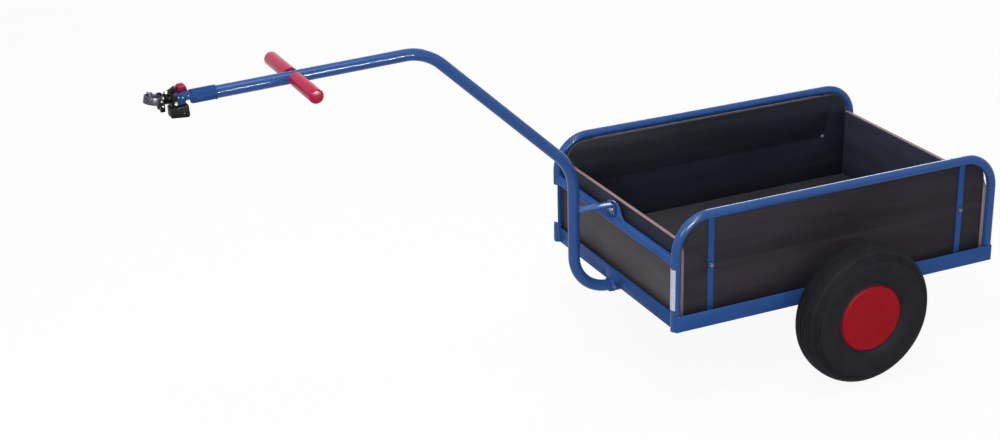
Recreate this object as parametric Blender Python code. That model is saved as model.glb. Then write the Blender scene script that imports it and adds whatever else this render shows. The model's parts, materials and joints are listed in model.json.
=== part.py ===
# Two-wheeled hand and bicycle trailer: a welded tube and angle frame round a board-lined box,
# pneumatic wheels, a bent tube drawbar with a cross handle, and a seat-post coupling at its tip.
# Metres, +Z up. +X points to the rear, the load box is centred on Y = 0, and the wheels stand on Z = 0.
import math

import bmesh
import bpy
from mathutils import Matrix, Vector

# Clearances
GAP = 0.0003
RUN = 0.0006

# Load box frame
POST_SPACING_X = 0.850
POST_SPACING_Y = 0.575
HOOP_D = 0.022
HOOP_WALL = 0.0015
HOOP_RISE = 0.264
HOOP_BEND_R = 0.080
RAIL_H = 0.038
RAIL_LEG = 0.020
RAIL_T = 0.003
RAIL_PAST = 0.006
CROSS_TUBE = 0.015
CROSS_WALL = 0.0015
CROSS_INSET_FRONT = 0.060
CROSS_INSET_REAR = 0.060
CROSSBAR_D = 0.022
CROSSBAR_WALL = 0.0015
CROSSBAR_Z = 0.163
BAR_W = 0.015
BAR_T = 0.003
BAR_INSET = 0.088

# Boards
BOARD_T = 0.009
SIDE_BOARD_CORNER_R = 0.065
FRONT_BOARD_TOP = 0.209
REAR_BOARD_TOP = 0.2005
FLOOR_REBATE = 0.002

# Fasteners
M6 = 0.006
M6_HEAD_D = 0.012
M6_HEAD_H = 0.0033
M6_NUT_AF = 0.010
M6_NUT_H = 0.005
M5 = 0.005
BOARD_BOLT_Z = 0.142

# Drawbar and its fixings
DRAWBAR_D = 0.0269
DRAWBAR_WALL = 0.002
DRAWBAR_DROP_X = -0.1036
DRAWBAR_LOW_Z = -0.001
DRAWBAR_KNEE_Z = 0.3068
DRAWBAR_CREST_X = -0.453
DRAWBAR_CREST_Z = 0.6373
DRAWBAR_TIP_X = -0.9695
DRAWBAR_TIP_Z = 0.6210
CREST_R = 0.115
KNEE_R = 0.120
FOOT_R = 0.090
SOCKET_D = 0.034
SOCKET_FRONT_X = -0.014
SOCKET_REAR_X = 0.020
SOCKET_BOLT_X = -0.0085
PLATE_W = 0.056
PLATE_T = 0.003
PLATE_LOW = 0.010
LUG_T = 0.004
LUG_H = 0.0325
LUG_BASE_W = 0.106
STRUT_W = 0.030
STRUT_T = 0.004
STRUT_Z = 0.203
STRUT_BOLT_DROP = 0.014

# Handle
HANDLE_X = -0.750
HANDLE_D = 0.020
HANDLE_WALL = 0.002
GRIP_D = 0.0315
GRIP_SPAN = 0.285
GRIP_START = 0.0165

# Reflective strips
STRIP_T = 0.0008
STRIP_LOW = 0.053
STRIP_HIGH = 0.1505
STRIP_WRAP = 131.0

# Wheels and axle
AXLE_X = 0.431
AXLE_D = 0.020
TRACK = 0.766
TYRE_R = 0.165
TYRE_W = 0.088
TYRE_WALL = 0.006
TUBE_SLACK = 0.0016
TUBE_WALL = 0.002
TYRE_WIDEST_R = 0.125
TYRE_SQUARENESS = 2.6
TYRE_BEAD_ANGLE = 60.0
TYRE_FLANK_ANGLE = 40.0
TREAD_GROOVE = 0.003
RIM_SEAT_R = 0.0745
RIM_FLANGE_R = 0.0780
RIM_T = 0.002
HUB_D = 0.046
HUB_INSET = 0.0064
BUSH_D = 0.034
CAP_LAP = 0.004
CAP_DRAFT = 0.0047
CAP_T = 0.002
CAP_CLEARANCE = 0.0008
CLAMP_W = 0.031
CLAMP_T = 0.003
COLLAR_D = 0.032
COLLAR_W = 0.008
WASHER_T = 0.002
AXLE_NUT_AF = 0.027
AXLE_NUT_H = 0.006
AXLE_PROUD = 0.0009

# Coupling at the drawbar's tip
TONGUE_W = 0.0315
TONGUE_T = 0.002
TONGUE_TIP_R = 0.005
TONGUE_DROP = 0.0093
TONGUE_LAP = 0.0525
TONGUE_PROUD = 0.0005
PITCH_AHEAD = 0.0355
PITCH_DROP = 0.003
PITCH_D = 0.006
YAW_AHEAD = 0.0145
YAW_D = 0.005
BARREL_D = 0.011
BARREL_RISE = 0.0055
BARREL_H = 0.012
LUG_PLATE_T = 0.0037
LATCH_AHEAD = 0.0105
LATCH_BEHIND = 0.0288
LATCH_DROP = 0.011
LATCH_H = 0.024
LATCH_W = 0.027
EAR_R = 0.0058
EAR_T = 0.002
EAR_RISE = 0.016
LEVER_AHEAD = 0.0015
LEVER_RISE = 0.006
LEVER_T = 0.007
LEVER_PIN_D = 0.003
LEVER_HUB_R = 0.004
LEVER_CAP_L = 0.0190
LEVER_CAP_H = 0.0155
LEVER_CAP_W = 0.018
POST_BORE = 0.0314
POST_LEAN = 13.0
POST_AHEAD = 0.0282
POST_RISE = 0.0015
BAND_H = 0.0158
BAND_T = 0.0025
CLAMP_BLOCK_W = 0.030
CLAMP_BLOCK_L = 0.010
CLAMP_BLOCK_DOWN = 0.0235
CLAMP_BLOCK_UP = 0.0095

# Places that follow from the sizes above
AXLE_Z = -AXLE_D / 2 - GAP
LIFT = TYRE_R - AXLE_Z
HALF_Y = POST_SPACING_Y / 2
POST_R = HOOP_D / 2
RAIL_OUT_Y = HALF_Y + POST_R + GAP + RAIL_T
SOCKET_R = SOCKET_D / 2
FLOOR_LOW = RAIL_T + CROSS_TUBE + 2 * GAP
FLOOR_TOP = FLOOR_LOW + BOARD_T
BOARD_Y = HALF_Y - 0.0015
WHEEL_STEPS = 28
END_X = POST_R + GAP
SIDE_BOARD_TOP = HOOP_RISE - POST_R - GAP
BAR_Y = BOARD_Y + GAP
TONGUE_REAR_X = DRAWBAR_TIP_X + TONGUE_LAP
TONGUE_STEP_X = DRAWBAR_TIP_X - TONGUE_PROUD
PITCH_X = DRAWBAR_TIP_X - PITCH_AHEAD
PITCH_Z = DRAWBAR_TIP_Z - PITCH_DROP
YAW_X = PITCH_X - YAW_AHEAD
BARREL_Z = DRAWBAR_TIP_Z + BARREL_RISE
LATCH_FRONT_X = PITCH_X - LATCH_AHEAD
LATCH_REAR_X = PITCH_X + LATCH_BEHIND
LATCH_TOP_Z = PITCH_Z - LATCH_DROP
LATCH_LOW_Z = LATCH_TOP_Z - LATCH_H
LEVER_X = PITCH_X - LEVER_AHEAD
LEVER_Z = BARREL_Z + LEVER_RISE
POST_AXIS_X = YAW_X - POST_AHEAD
POST_AXIS_Z = BARREL_Z + POST_RISE
LEAN = math.radians(POST_LEAN)
BAND_R = POST_BORE / 2 + BAND_T
CAP_R = RIM_FLANGE_R + CAP_LAP
CAP_FACE_R = CAP_R - CAP_DRAFT
BEAD_COS = math.cos(math.radians(TYRE_BEAD_ANGLE)) ** (2 / TYRE_SQUARENESS)
BEAD_SIN = math.sin(math.radians(TYRE_BEAD_ANGLE)) ** (2 / TYRE_SQUARENESS)
FLANK_COS = math.cos(math.radians(TYRE_FLANK_ANGLE)) ** (2 / TYRE_SQUARENESS)
FLANK_SIN = math.sin(math.radians(TYRE_FLANK_ANGLE)) ** (2 / TYRE_SQUARENESS)
TYRE_DOWN = (TYRE_WIDEST_R - RIM_SEAT_R - GAP) / BEAD_SIN
BEAD_Y = TYRE_W / 2 * BEAD_COS
FLANK_SLOPE = TYRE_W / 2 * (FLANK_COS - BEAD_COS) / (TYRE_DOWN * (BEAD_SIN - FLANK_SIN))
RIM_LIP = BEAD_Y + FLANK_SLOPE * (RIM_FLANGE_R - RIM_SEAT_R) + 2 * RUN + RIM_T
HUB_END = RIM_LIP - HUB_INSET
AXLE_END = HUB_END + RUN + WASHER_T + AXLE_NUT_H + AXLE_PROUD
FRONT_END_X = POST_AXIS_X - BAND_R * math.cos(LEAN) - BAND_H / 2 * math.sin(LEAN)
REAR_END_X = POST_SPACING_X + POST_R
SHIFT_X = -(FRONT_END_X + REAR_END_X) / 2


def clear_scene():
    for obj in list(bpy.data.objects):
        bpy.data.objects.remove(obj, do_unlink=True)


def material(name, colour, roughness, metallic):
    made = bpy.data.materials.new(name)
    made.use_nodes = True
    node = made.node_tree.nodes["Principled BSDF"]
    node.inputs["Base Color"].default_value = (*colour, 1.0)
    node.inputs["Roughness"].default_value = roughness
    node.inputs["Metallic"].default_value = metallic
    return made


# Pivots of the moving groups, as empties that their pieces hang on
PIVOTS = {}


def pivot(name, place, parent=None):
    empty = bpy.data.objects.new(name, None)
    bpy.context.collection.objects.link(empty)
    empty.empty_display_size = 0.05
    base = PIVOTS[parent.name] if parent else Vector((-SHIFT_X, 0, -LIFT))
    empty.location = Vector(place) - base
    empty.parent = parent
    PIVOTS[empty.name] = Vector(place)
    return empty


def add(name, bm, mat, parent, origin=None, smooth=None):
    origin = Vector(origin) if origin is not None else PIVOTS[parent.name]
    bmesh.ops.translate(bm, verts=bm.verts, vec=-origin)
    bmesh.ops.recalc_face_normals(bm, faces=bm.faces)
    mesh = bpy.data.meshes.new(name)
    bm.to_mesh(mesh)
    bm.free()
    obj = bpy.data.objects.new(name, mesh)
    bpy.context.collection.objects.link(obj)
    obj.parent = parent
    obj.location = origin - PIVOTS[parent.name]
    if mat:
        mesh.materials.append(mat)
    if smooth:
        mesh.shade_smooth()
        mesh.set_sharp_from_angle(angle=math.radians(smooth))
    return obj


def boolean(obj, bm, operation):
    tool = add(obj.name + "_tool", bm, None, obj.parent)
    tool.hide_render = True
    tool.display_type = "WIRE"
    cut = obj.modifiers.new("Boolean", "BOOLEAN")
    cut.operation = operation
    cut.solver = "EXACT"
    cut.object = tool
    return obj


def cut(obj, *shapes):
    for bm in shapes:
        boolean(obj, bm, "DIFFERENCE")
    return obj


def fuse(obj, *shapes):
    for bm in shapes:
        boolean(obj, bm, "UNION")
    return obj


def in_space(axis, a, b, c):
    """A point of an outline drawn square to an axis, with its place along that axis."""
    return {"X": (c, a, b), "Y": (a, c, b), "Z": (a, b, c)}[axis]


def prism(outline, axis, low, high):
    """An outline pulled straight along X, Y or Z. It is drawn in (y, z), (x, z) or (x, y)."""
    bm = bmesh.new()
    face = bm.faces.new([bm.verts.new(in_space(axis, a, b, low)) for a, b in outline])
    made = bmesh.ops.extrude_face_region(bm, geom=[face])["geom"]
    new = [v for v in made if isinstance(v, bmesh.types.BMVert)]
    step = Vector(in_space(axis, 0, 0, high)) - Vector(in_space(axis, 0, 0, low))
    bmesh.ops.translate(bm, verts=new, vec=step)
    bmesh.ops.recalc_face_normals(bm, faces=bm.faces)
    return bm


def pipe(outer, inner, axis, low, high):
    """A straight length of tube with any outline and the same count of points in its bore."""
    bm = bmesh.new()
    rings = []
    for place in (low, high):
        for outline in (outer, inner):
            rings.append([bm.verts.new(in_space(axis, a, b, place)) for a, b in outline])
    n = len(outer)
    for one, two in ((0, 1), (2, 3), (0, 2), (1, 3)):
        for i in range(n):
            j = (i + 1) % n
            bm.faces.new((rings[one][i], rings[one][j], rings[two][j], rings[two][i]))
    bmesh.ops.recalc_face_normals(bm, faces=bm.faces)
    return bm


def circle(radius, count=16, a=0.0, b=0.0, turn=0.0):
    steps = [turn + 2 * math.pi * i / count for i in range(count)]
    return [(a + radius * math.cos(t), b + radius * math.sin(t)) for t in steps]


def hexagon(across, a=0.0, b=0.0, turn=0.0):
    """Twelve points round a hexagon: its corners and the middles of its sides."""
    points = []
    for i in range(12):
        t = turn + math.pi / 6 * i
        r = across / 2 / (math.cos(math.pi / 6) if i % 2 == 0 else 1.0)
        points.append((a + r * math.cos(t), b + r * math.sin(t)))
    return points


def block(x0, x1, y0, y1, z0, z1):
    return prism([(x0, z0), (x1, z0), (x1, z1), (x0, z1)], "Y", y0, y1)


def rod(radius, axis, a, b, low, high, count=16):
    return prism(circle(radius, count, a, b), axis, low, high)


def turned(profile, steps, place=(0, 0, 0), axis="Y", closed=True):
    """A profile of (radius, distance along the axis) turned round the axis."""
    bm = bmesh.new()
    verts = [bm.verts.new((r, d, 0)) for r, d in profile]
    edges = [bm.edges.new((verts[i], verts[i + 1])) for i in range(len(verts) - 1)]
    if closed:
        edges.append(bm.edges.new((verts[-1], verts[0])))
    bmesh.ops.spin(
        bm,
        geom=verts + edges,
        cent=(0, 0, 0),
        axis=(0, 1, 0),
        angle=2 * math.pi,
        steps=steps,
        use_merge=True,
    )
    bmesh.ops.remove_doubles(bm, verts=bm.verts, dist=0.000005)
    turns = {"Y": Matrix(), "X": Matrix.Rotation(-math.pi / 2, 4, "Z"), "Z": Matrix.Rotation(math.pi / 2, 4, "X")}
    bmesh.ops.transform(bm, matrix=Matrix.Translation(place) @ turns[axis], verts=bm.verts)
    bmesh.ops.recalc_face_normals(bm, faces=bm.faces)
    return bm


def filleted(corners, radii, steps):
    """A path in (x, z) with its inner corners rounded."""
    path = [Vector(corners[0])]
    for i, radius in enumerate(radii, 1):
        before, corner, after = (Vector(corners[j]) for j in (i - 1, i, i + 1))
        u = (before - corner).normalized()
        v = (after - corner).normalized()
        half = u.angle(v) / 2
        centre = corner + (u + v).normalized() * radius / math.sin(half)
        start = corner + u * radius / math.tan(half)
        end = corner + v * radius / math.tan(half)
        sweep = (start - centre).angle_signed(end - centre)
        for k in range(steps[i - 1] + 1):
            arm = (start - centre).copy()
            arm.rotate(Matrix.Rotation(-sweep * k / steps[i - 1], 2))
            path.append(centre + arm)
    path.append(Vector(corners[-1]))
    return path


def bent_tube(name, path, y, radius, wall, mat, parent, sides=12):
    """A round tube along a path in a plane of constant y."""
    origin = PIVOTS[parent.name]
    curve = bpy.data.curves.new(name, "CURVE")
    curve.dimensions = "3D"
    curve.bevel_depth = radius
    curve.bevel_resolution = (sides - 4) // 2
    curve.use_fill_caps = False
    line = curve.splines.new("POLY")
    line.points.add(len(path) - 1)
    for point, (x, z) in zip(line.points, path):
        point.co = (x - origin.x, y - origin.y, z - origin.z, 1)
    drawn = bpy.data.objects.new(name + "_line", curve)
    bpy.context.collection.objects.link(drawn)
    view = bpy.context.evaluated_depsgraph_get()
    mesh = bpy.data.meshes.new_from_object(drawn.evaluated_get(view))
    bpy.data.objects.remove(drawn, do_unlink=True)
    bpy.data.curves.remove(curve)
    mesh.name = name
    mesh.materials.append(mat)
    mesh.shade_smooth()
    obj = bpy.data.objects.new(name, mesh)
    bpy.context.collection.objects.link(obj)
    obj.parent = parent
    shell = obj.modifiers.new("Solidify", "SOLIDIFY")
    shell.thickness = wall
    shell.offset = -1
    shell.use_even_offset = True
    return obj


def build_frame(root, blue):
    """Tube hoops at the sides, angle rails below, and the tubes and bars between them."""
    foot = RAIL_T + GAP
    for side, s in (("left", -1), ("right", 1)):
        path = filleted(
            [(0, 0), (0, HOOP_RISE), (POST_SPACING_X, HOOP_RISE), (POST_SPACING_X, 0)],
            [HOOP_BEND_R, HOOP_BEND_R],
            [6, 6],
        )
        bent_tube("side_hoop_" + side, path, s * HALF_Y, POST_R, HOOP_WALL, blue, root)
        angle = [
            (s * RAIL_OUT_Y, 0),
            (s * (RAIL_OUT_Y - RAIL_LEG), 0),
            (s * (RAIL_OUT_Y - RAIL_LEG), RAIL_T),
            (s * (RAIL_OUT_Y - RAIL_T), RAIL_T),
            (s * (RAIL_OUT_Y - RAIL_T), RAIL_H),
            (s * RAIL_OUT_Y, RAIL_H),
        ]
        rail = add("side_rail_" + side, prism(angle, "X", END_X, POST_SPACING_X - END_X), blue, root)
        y0, y1 = sorted((s * RAIL_OUT_Y, s * (RAIL_OUT_Y - RAIL_T)))
        fuse(rail, block(-RAIL_PAST, POST_SPACING_X + RAIL_PAST, y0, y1, 0, RAIL_H))
        y0, y1 = sorted((s * BAR_Y, s * (BAR_Y + BAR_T)))
        for end, x in (("front", BAR_INSET), ("rear", POST_SPACING_X - BAR_INSET)):
            shape = block(x - BAR_W / 2, x + BAR_W / 2, y0, y1, foot, SIDE_BOARD_TOP)
            bar = add(f"upright_bar_{end}_{side}", shape, blue, root)
            cut(bar, rod(M6 / 2 + GAP, "Y", x, BOARD_BOLT_Z, y0 - BAR_T, y1 + BAR_T, 12))
    span = HALF_Y - END_X
    half = RAIL_T / 2
    front = [(-half, 0), (RAIL_LEG - half, 0), (RAIL_LEG - half, RAIL_T), (half, RAIL_T), (half, RAIL_H), (-half, RAIL_H)]
    rail = add("front_rail", prism(front, "Y", -span, span), blue, root)
    cut(rail, rod(SOCKET_R + GAP, "X", 0, DRAWBAR_LOW_Z, -0.02, 2 * RAIL_LEG, 24))
    rear = [(POST_SPACING_X - x, z) for x, z in front]
    add("rear_rail", prism(rear, "Y", -span, span), blue, root)
    for name, x in (("front_crossbar", 0), ("rear_crossbar", POST_SPACING_X)):
        bore = circle(CROSSBAR_D / 2 - CROSSBAR_WALL, 12, x, CROSSBAR_Z, math.pi / 2)
        bar = pipe(circle(CROSSBAR_D / 2, 12, x, CROSSBAR_Z, math.pi / 2), bore, "Y", -span, span)
        add(name, bar, blue, root, smooth=40)
    low = foot
    reach = RAIL_OUT_Y - RAIL_T - GAP
    places = {"front": CROSS_INSET_FRONT, "middle": AXLE_X, "rear": POST_SPACING_X - CROSS_INSET_REAR}
    for name, x in places.items():
        outer = square(x, low + CROSS_TUBE / 2, CROSS_TUBE / 2)
        inner = square(x, low + CROSS_TUBE / 2, CROSS_TUBE / 2 - CROSS_WALL)
        add("floor_tube_" + name, pipe(outer, inner, "Y", -reach, reach), blue, root)


def build_boards(root, board, steel):
    """Film-faced plywood: the floor on its cross tubes, the ends and the sides standing on it."""
    ledge = FLOOR_TOP - FLOOR_REBATE
    floor = add("floor_board", block(END_X, POST_SPACING_X - END_X, -BOARD_Y, BOARD_Y, FLOOR_LOW, ledge), board, root)
    inside = END_X + BOARD_T + GAP
    wide = BOARD_Y - BOARD_T - GAP
    fuse(floor, block(inside, POST_SPACING_X - inside, -wide, wide, ledge - FLOOR_REBATE, FLOOR_TOP))
    foot = ledge + GAP
    back = POST_SPACING_X - END_X
    bend = HOOP_RISE - HOOP_BEND_R
    narrow = HALF_Y - END_X
    for name, x, high in (("front_board", END_X, FRONT_BOARD_TOP), ("rear_board", back - BOARD_T, REAR_BOARD_TOP)):
        shoulder = min(bend, high - 0.005)
        outline = [(-BOARD_Y, foot), (BOARD_Y, foot), (BOARD_Y, shoulder), (narrow, high), (-narrow, high), (-BOARD_Y, shoulder)]
        add(name, prism(outline, "X", x, x + BOARD_T), board, root)
    x0 = END_X + BOARD_T + GAP
    x1 = POST_SPACING_X - x0
    top = SIDE_BOARD_TOP
    r = SIDE_BOARD_CORNER_R
    outline = [tuple(p) for p in filleted([(x0, foot), (x0, top), (x1, top), (x1, foot)], [r, r], [8, 8])]
    for side, s in (("left", -1), ("right", 1)):
        y0, y1 = sorted((s * (BOARD_Y - BOARD_T), s * BOARD_Y))
        wall = add("side_board_" + side, prism(outline, "Y", y0, y1), board, root)
        for end, x in (("front", BAR_INSET), ("rear", POST_SPACING_X - BAR_INSET)):
            cut(wall, rod(M6 / 2 + GAP, "Y", x, BOARD_BOLT_Z, y0 - BOARD_T, y1 + BOARD_T, 12))
            place = (x, s * (BOARD_Y - BOARD_T - GAP), BOARD_BOLT_Z)
            grip = BOARD_T + BAR_T + GAP
            name = f"board_bolt_{end}_{side}"
            bolt_and_nut(name, M6, M6_HEAD_D, M6_HEAD_H, M6_NUT_AF, M6_NUT_H, place, "Y", s, grip, steel, root)


def square(a, b, half):
    return [(a - half, b - half), (a + half, b - half), (a + half, b + half), (a - half, b + half)]


def dome_bolt(size, head_d, head_h, length, place, axis, s):
    """A dome-headed bolt. Its head stands on the far side of place, its shank runs along s times the axis."""
    r = head_d / 2
    profile = [
        (0, -head_h * s),
        (r * 0.55, -head_h * 0.86 * s),
        (r * 0.9, -head_h * 0.45 * s),
        (r, 0),
        (size / 2, 0),
        (size / 2, length * s),
        (0, length * s),
    ]
    return turned(profile, 10, place, axis, closed=False)


def bolt_and_nut(name, size, head_d, head_h, across, nut_h, place, axis, s, grip, mat, parent, lean=None):
    """A bolt through its pieces with its nut run up on the far side, as one turned and one six-sided body."""
    start = grip + 2 * GAP
    spare = size * 0.25
    bolt = dome_bolt(size, head_d, head_h, start + nut_h + spare, place, axis, s)
    near = {"X": 0, "Y": 1, "Z": 2}[axis]
    a, b = [place[i] for i in range(3) if i != near]
    low, high = sorted((place[near] + s * start, place[near] + s * (start + nut_h)))
    head = prism(hexagon(across, a, b)[::2], axis, low, high)
    if lean:
        bolt, head = lean(bolt), lean(head)
    return fuse(add(name, bolt, mat, parent, smooth=40), head)


def build_drawbar(root, blue, steel):
    """One bent tube: up in front of the box, over the knee and the crest, and down a little to the tip."""
    path = filleted(
        [
            (DRAWBAR_TIP_X, DRAWBAR_TIP_Z),
            (DRAWBAR_CREST_X, DRAWBAR_CREST_Z),
            (DRAWBAR_DROP_X, DRAWBAR_KNEE_Z),
            (DRAWBAR_DROP_X, DRAWBAR_LOW_Z),
            (SOCKET_REAR_X, DRAWBAR_LOW_Z),
        ],
        [CREST_R, KNEE_R, FOOT_R],
        [5, 5, 9],
    )
    tube = bent_tube("drawbar_tube", path, 0, DRAWBAR_D / 2, DRAWBAR_WALL, blue, root, sides=14)
    handle_z = along_tip(HANDLE_X)
    wide = DRAWBAR_D
    cut(tube, rod(HANDLE_D / 2 + GAP, "Y", HANDLE_X, handle_z, -wide, wide, 20))
    cut(tube, rod(M6 / 2 + GAP, "Y", SOCKET_BOLT_X, DRAWBAR_LOW_Z, -wide, wide, 12))
    outer = circle(SOCKET_R, 24, 0, DRAWBAR_LOW_Z)
    bore = circle(DRAWBAR_D / 2 + GAP, 24, 0, DRAWBAR_LOW_Z)
    socket = add("drawbar_socket", pipe(outer, bore, "X", SOCKET_FRONT_X, SOCKET_REAR_X), blue, root, smooth=40)
    cut(socket, rod(M6 / 2 + GAP, "Y", SOCKET_BOLT_X, DRAWBAR_LOW_Z, -SOCKET_D, SOCKET_D, 12))
    w = PLATE_W / 2
    top = RAIL_H
    plate = [(-w, PLATE_LOW), (w, PLATE_LOW), (w, top - 0.006), (w - 0.006, top), (0.006 - w, top), (-w, top - 0.006)]
    front = -RAIL_T / 2 - GAP
    fuse(socket, prism(plate, "X", front - PLATE_T, front))
    cut(socket, rod(DRAWBAR_D / 2 + GAP, "X", 0, DRAWBAR_LOW_Z, SOCKET_FRONT_X - 0.01, SOCKET_REAR_X + 0.01, 24))
    place = (SOCKET_BOLT_X, -SOCKET_R - GAP, DRAWBAR_LOW_Z)
    bolt_and_nut("socket_bolt", M6, M6_NUT_AF, 0.004, M6_NUT_AF, M6_NUT_H, place, "Y", 1, SOCKET_D, steel, root)
    build_strut(root, blue, steel)
    build_handle(root, handle_z)


def along_tip(x):
    """Height of the drawbar's upper run at x."""
    slope = (DRAWBAR_CREST_Z - DRAWBAR_TIP_Z) / (DRAWBAR_CREST_X - DRAWBAR_TIP_X)
    return DRAWBAR_TIP_Z + slope * (x - DRAWBAR_TIP_X)


def build_strut(root, blue, steel):
    """The lug on the front crossbar and the bent flat bar from it to the drawbar, with their bolt."""
    base = CROSSBAR_Z + CROSSBAR_D / 2 + GAP
    half = LUG_BASE_W / 2
    shape = [(1, 0), (0.9, 0.06), (0.78, 0.2), (0.64, 0.48), (0.51, 0.79), (0.4, 0.91), (0.28, 0.965), (0.1, 1)]
    outline = [(half * a, base + LUG_H * b) for a, b in shape]
    outline += [(-a, b) for a, b in reversed(outline)]
    lug = add("drawbar_lug", prism(outline, "X", -LUG_T / 2, LUG_T / 2), blue, root)
    bolt_z = STRUT_Z - STRUT_BOLT_DROP
    cut(lug, rod(M6 / 2 + GAP, "X", 0, bolt_z, -LUG_T, LUG_T, 12))
    back = -LUG_T / 2 - GAP
    low = base + 0.0015
    bend = 0.006
    outer = filleted([(DRAWBAR_DROP_X, STRUT_Z), (back, STRUT_Z), (back, low)], [bend], [4])
    inner = filleted(
        [(DRAWBAR_DROP_X, STRUT_Z - STRUT_T), (back - STRUT_T, STRUT_Z - STRUT_T), (back - STRUT_T, low)],
        [bend - STRUT_T],
        [4],
    )
    outline = [tuple(p) for p in outer] + [tuple(p) for p in reversed(inner)]
    strut = add("drawbar_strut", prism(outline, "Y", -STRUT_W / 2, STRUT_W / 2), blue, root)
    reach = DRAWBAR_D / 2 + GAP
    cut(strut, rod(reach, "Z", DRAWBAR_DROP_X, 0, STRUT_Z - 2 * STRUT_T, STRUT_Z + STRUT_T, 24))
    cut(strut, block(DRAWBAR_DROP_X - 0.01, DRAWBAR_DROP_X + reach * 0.6, -STRUT_W, STRUT_W, low, STRUT_Z + STRUT_T))
    cut(strut, rod(M6 / 2 + GAP, "X", 0, bolt_z, back - 2 * STRUT_T, back + STRUT_T, 12))
    head = back - STRUT_T - GAP
    place = (head, 0, bolt_z)
    grip = STRUT_T + LUG_T + GAP
    bolt_and_nut("strut_bolt", M6, M6_HEAD_D, M6_HEAD_H, M6_NUT_AF, M6_NUT_H, place, "X", 1, grip, steel, root)


def build_handle(root, z):
    """The cross handle: a tube through the drawbar with a closed plastic grip on each side."""
    r = HANDLE_D / 2
    end = GRIP_SPAN / 2
    reach = end - 0.004
    tube = pipe(circle(r, 16, HANDLE_X, z), circle(r - HANDLE_WALL, 16, HANDLE_X, z), "Y", -reach, reach)
    add("handle_tube", tube, M["steel_dark"], root, smooth=40)
    g = GRIP_D / 2
    for side, s in (("left", -1), ("right", 1)):
        profile = [
            (0, end),
            (g * 0.72, end),
            (g * 0.93, end - 0.002),
            (g, end - 0.006),
            (g, GRIP_START + 0.004),
            (g * 0.94, GRIP_START),
            (r + 2 * GAP, GRIP_START),
            (r + 2 * GAP, reach + GAP),
            (0, reach + GAP),
        ]
        profile = [(a, s * b) for a, b in profile]
        add("grip_" + side, turned(profile, 16, (HANDLE_X, 0, z), "Y", closed=False), M["red"], root, smooth=40)


def build_reflectors(root):
    """Reflective strips wrapped round the front of both front posts."""
    r = POST_R + GAP
    half = math.radians(STRIP_WRAP / 2)
    steps = [math.pi - half + half * i / 4 for i in range(9)]
    for side, s in (("left", -1), ("right", 1)):
        inner = [(r * math.cos(t), s * HALF_Y + r * math.sin(t)) for t in steps]
        outer = [((r + STRIP_T) * math.cos(t), s * HALF_Y + (r + STRIP_T) * math.sin(t)) for t in steps]
        strip = prism(inner + outer[::-1], "Z", STRIP_LOW, STRIP_HIGH)
        add("reflective_strip_" + side, strip, M["reflective"], root, smooth=40)


def build_axle(root, blue, steel):
    """The through axle under the side rails, its two saddles, and what holds the wheels on it."""
    r = AXLE_D / 2
    end = TRACK / 2 + AXLE_END
    axle = add("axle", rod(r, "Y", AXLE_X, AXLE_Z, -end, end), steel, root, smooth=40)
    inner = r + GAP
    outer = inner + CLAMP_T
    ear = CLAMP_W
    low = -GAP - CLAMP_T
    steps = [math.pi + math.pi * i / 8 for i in range(9)]
    outline = [(-ear, -GAP), (-inner, -GAP)]
    outline += [(inner * math.cos(t), AXLE_Z + inner * math.sin(t)) for t in steps]
    outline += [(inner, -GAP), (ear, -GAP), (ear, low), (outer, low)]
    outline += [(outer * math.cos(t), AXLE_Z + outer * math.sin(t)) for t in reversed(steps)]
    outline += [(-outer, low), (-ear, low)]
    outline = [(AXLE_X + x, z) for x, z in outline]
    w = RAIL_LEG / 2
    hub = HUB_END + RUN
    for side, s in (("left", -1), ("right", 1)):
        y = s * (RAIL_OUT_Y - w)
        add("axle_saddle_" + side, prism(outline, "Y", y - w, y + w), blue, root)
        a, b = sorted((s * (TRACK / 2 - hub), s * (TRACK / 2 - hub - COLLAR_W)))
        fuse(axle, rod(COLLAR_D / 2, "Y", AXLE_X, AXLE_Z, a, b))
        a, b = sorted((s * (TRACK / 2 + hub), s * (TRACK / 2 + hub + WASHER_T)))
        c, d = sorted((s * (TRACK / 2 + hub + WASHER_T / 2), s * (TRACK / 2 + hub + WASHER_T + AXLE_NUT_H)))
        nut = add("axle_nut_" + side, rod(COLLAR_D / 2, "Y", AXLE_X, AXLE_Z, a, b), steel, root)
        fuse(nut, prism(hexagon(AXLE_NUT_AF, AXLE_X, AXLE_Z)[::2], "Y", c, d))
        cut(nut, rod(r + GAP, "Y", AXLE_X, AXLE_Z, min(a, c) - 0.01, max(b, d) + 0.01))


def tyre_side(t, half_width, widest, up, down):
    """A point of a tyre's fat oval section, t in degrees from the widest place."""
    a = math.cos(math.radians(t))
    b = math.sin(math.radians(t))
    power = 2 / TYRE_SQUARENESS
    height = up if b > 0 else down
    return (widest + math.copysign(abs(b) ** power, b) * height, abs(a) ** power * half_width)


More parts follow.
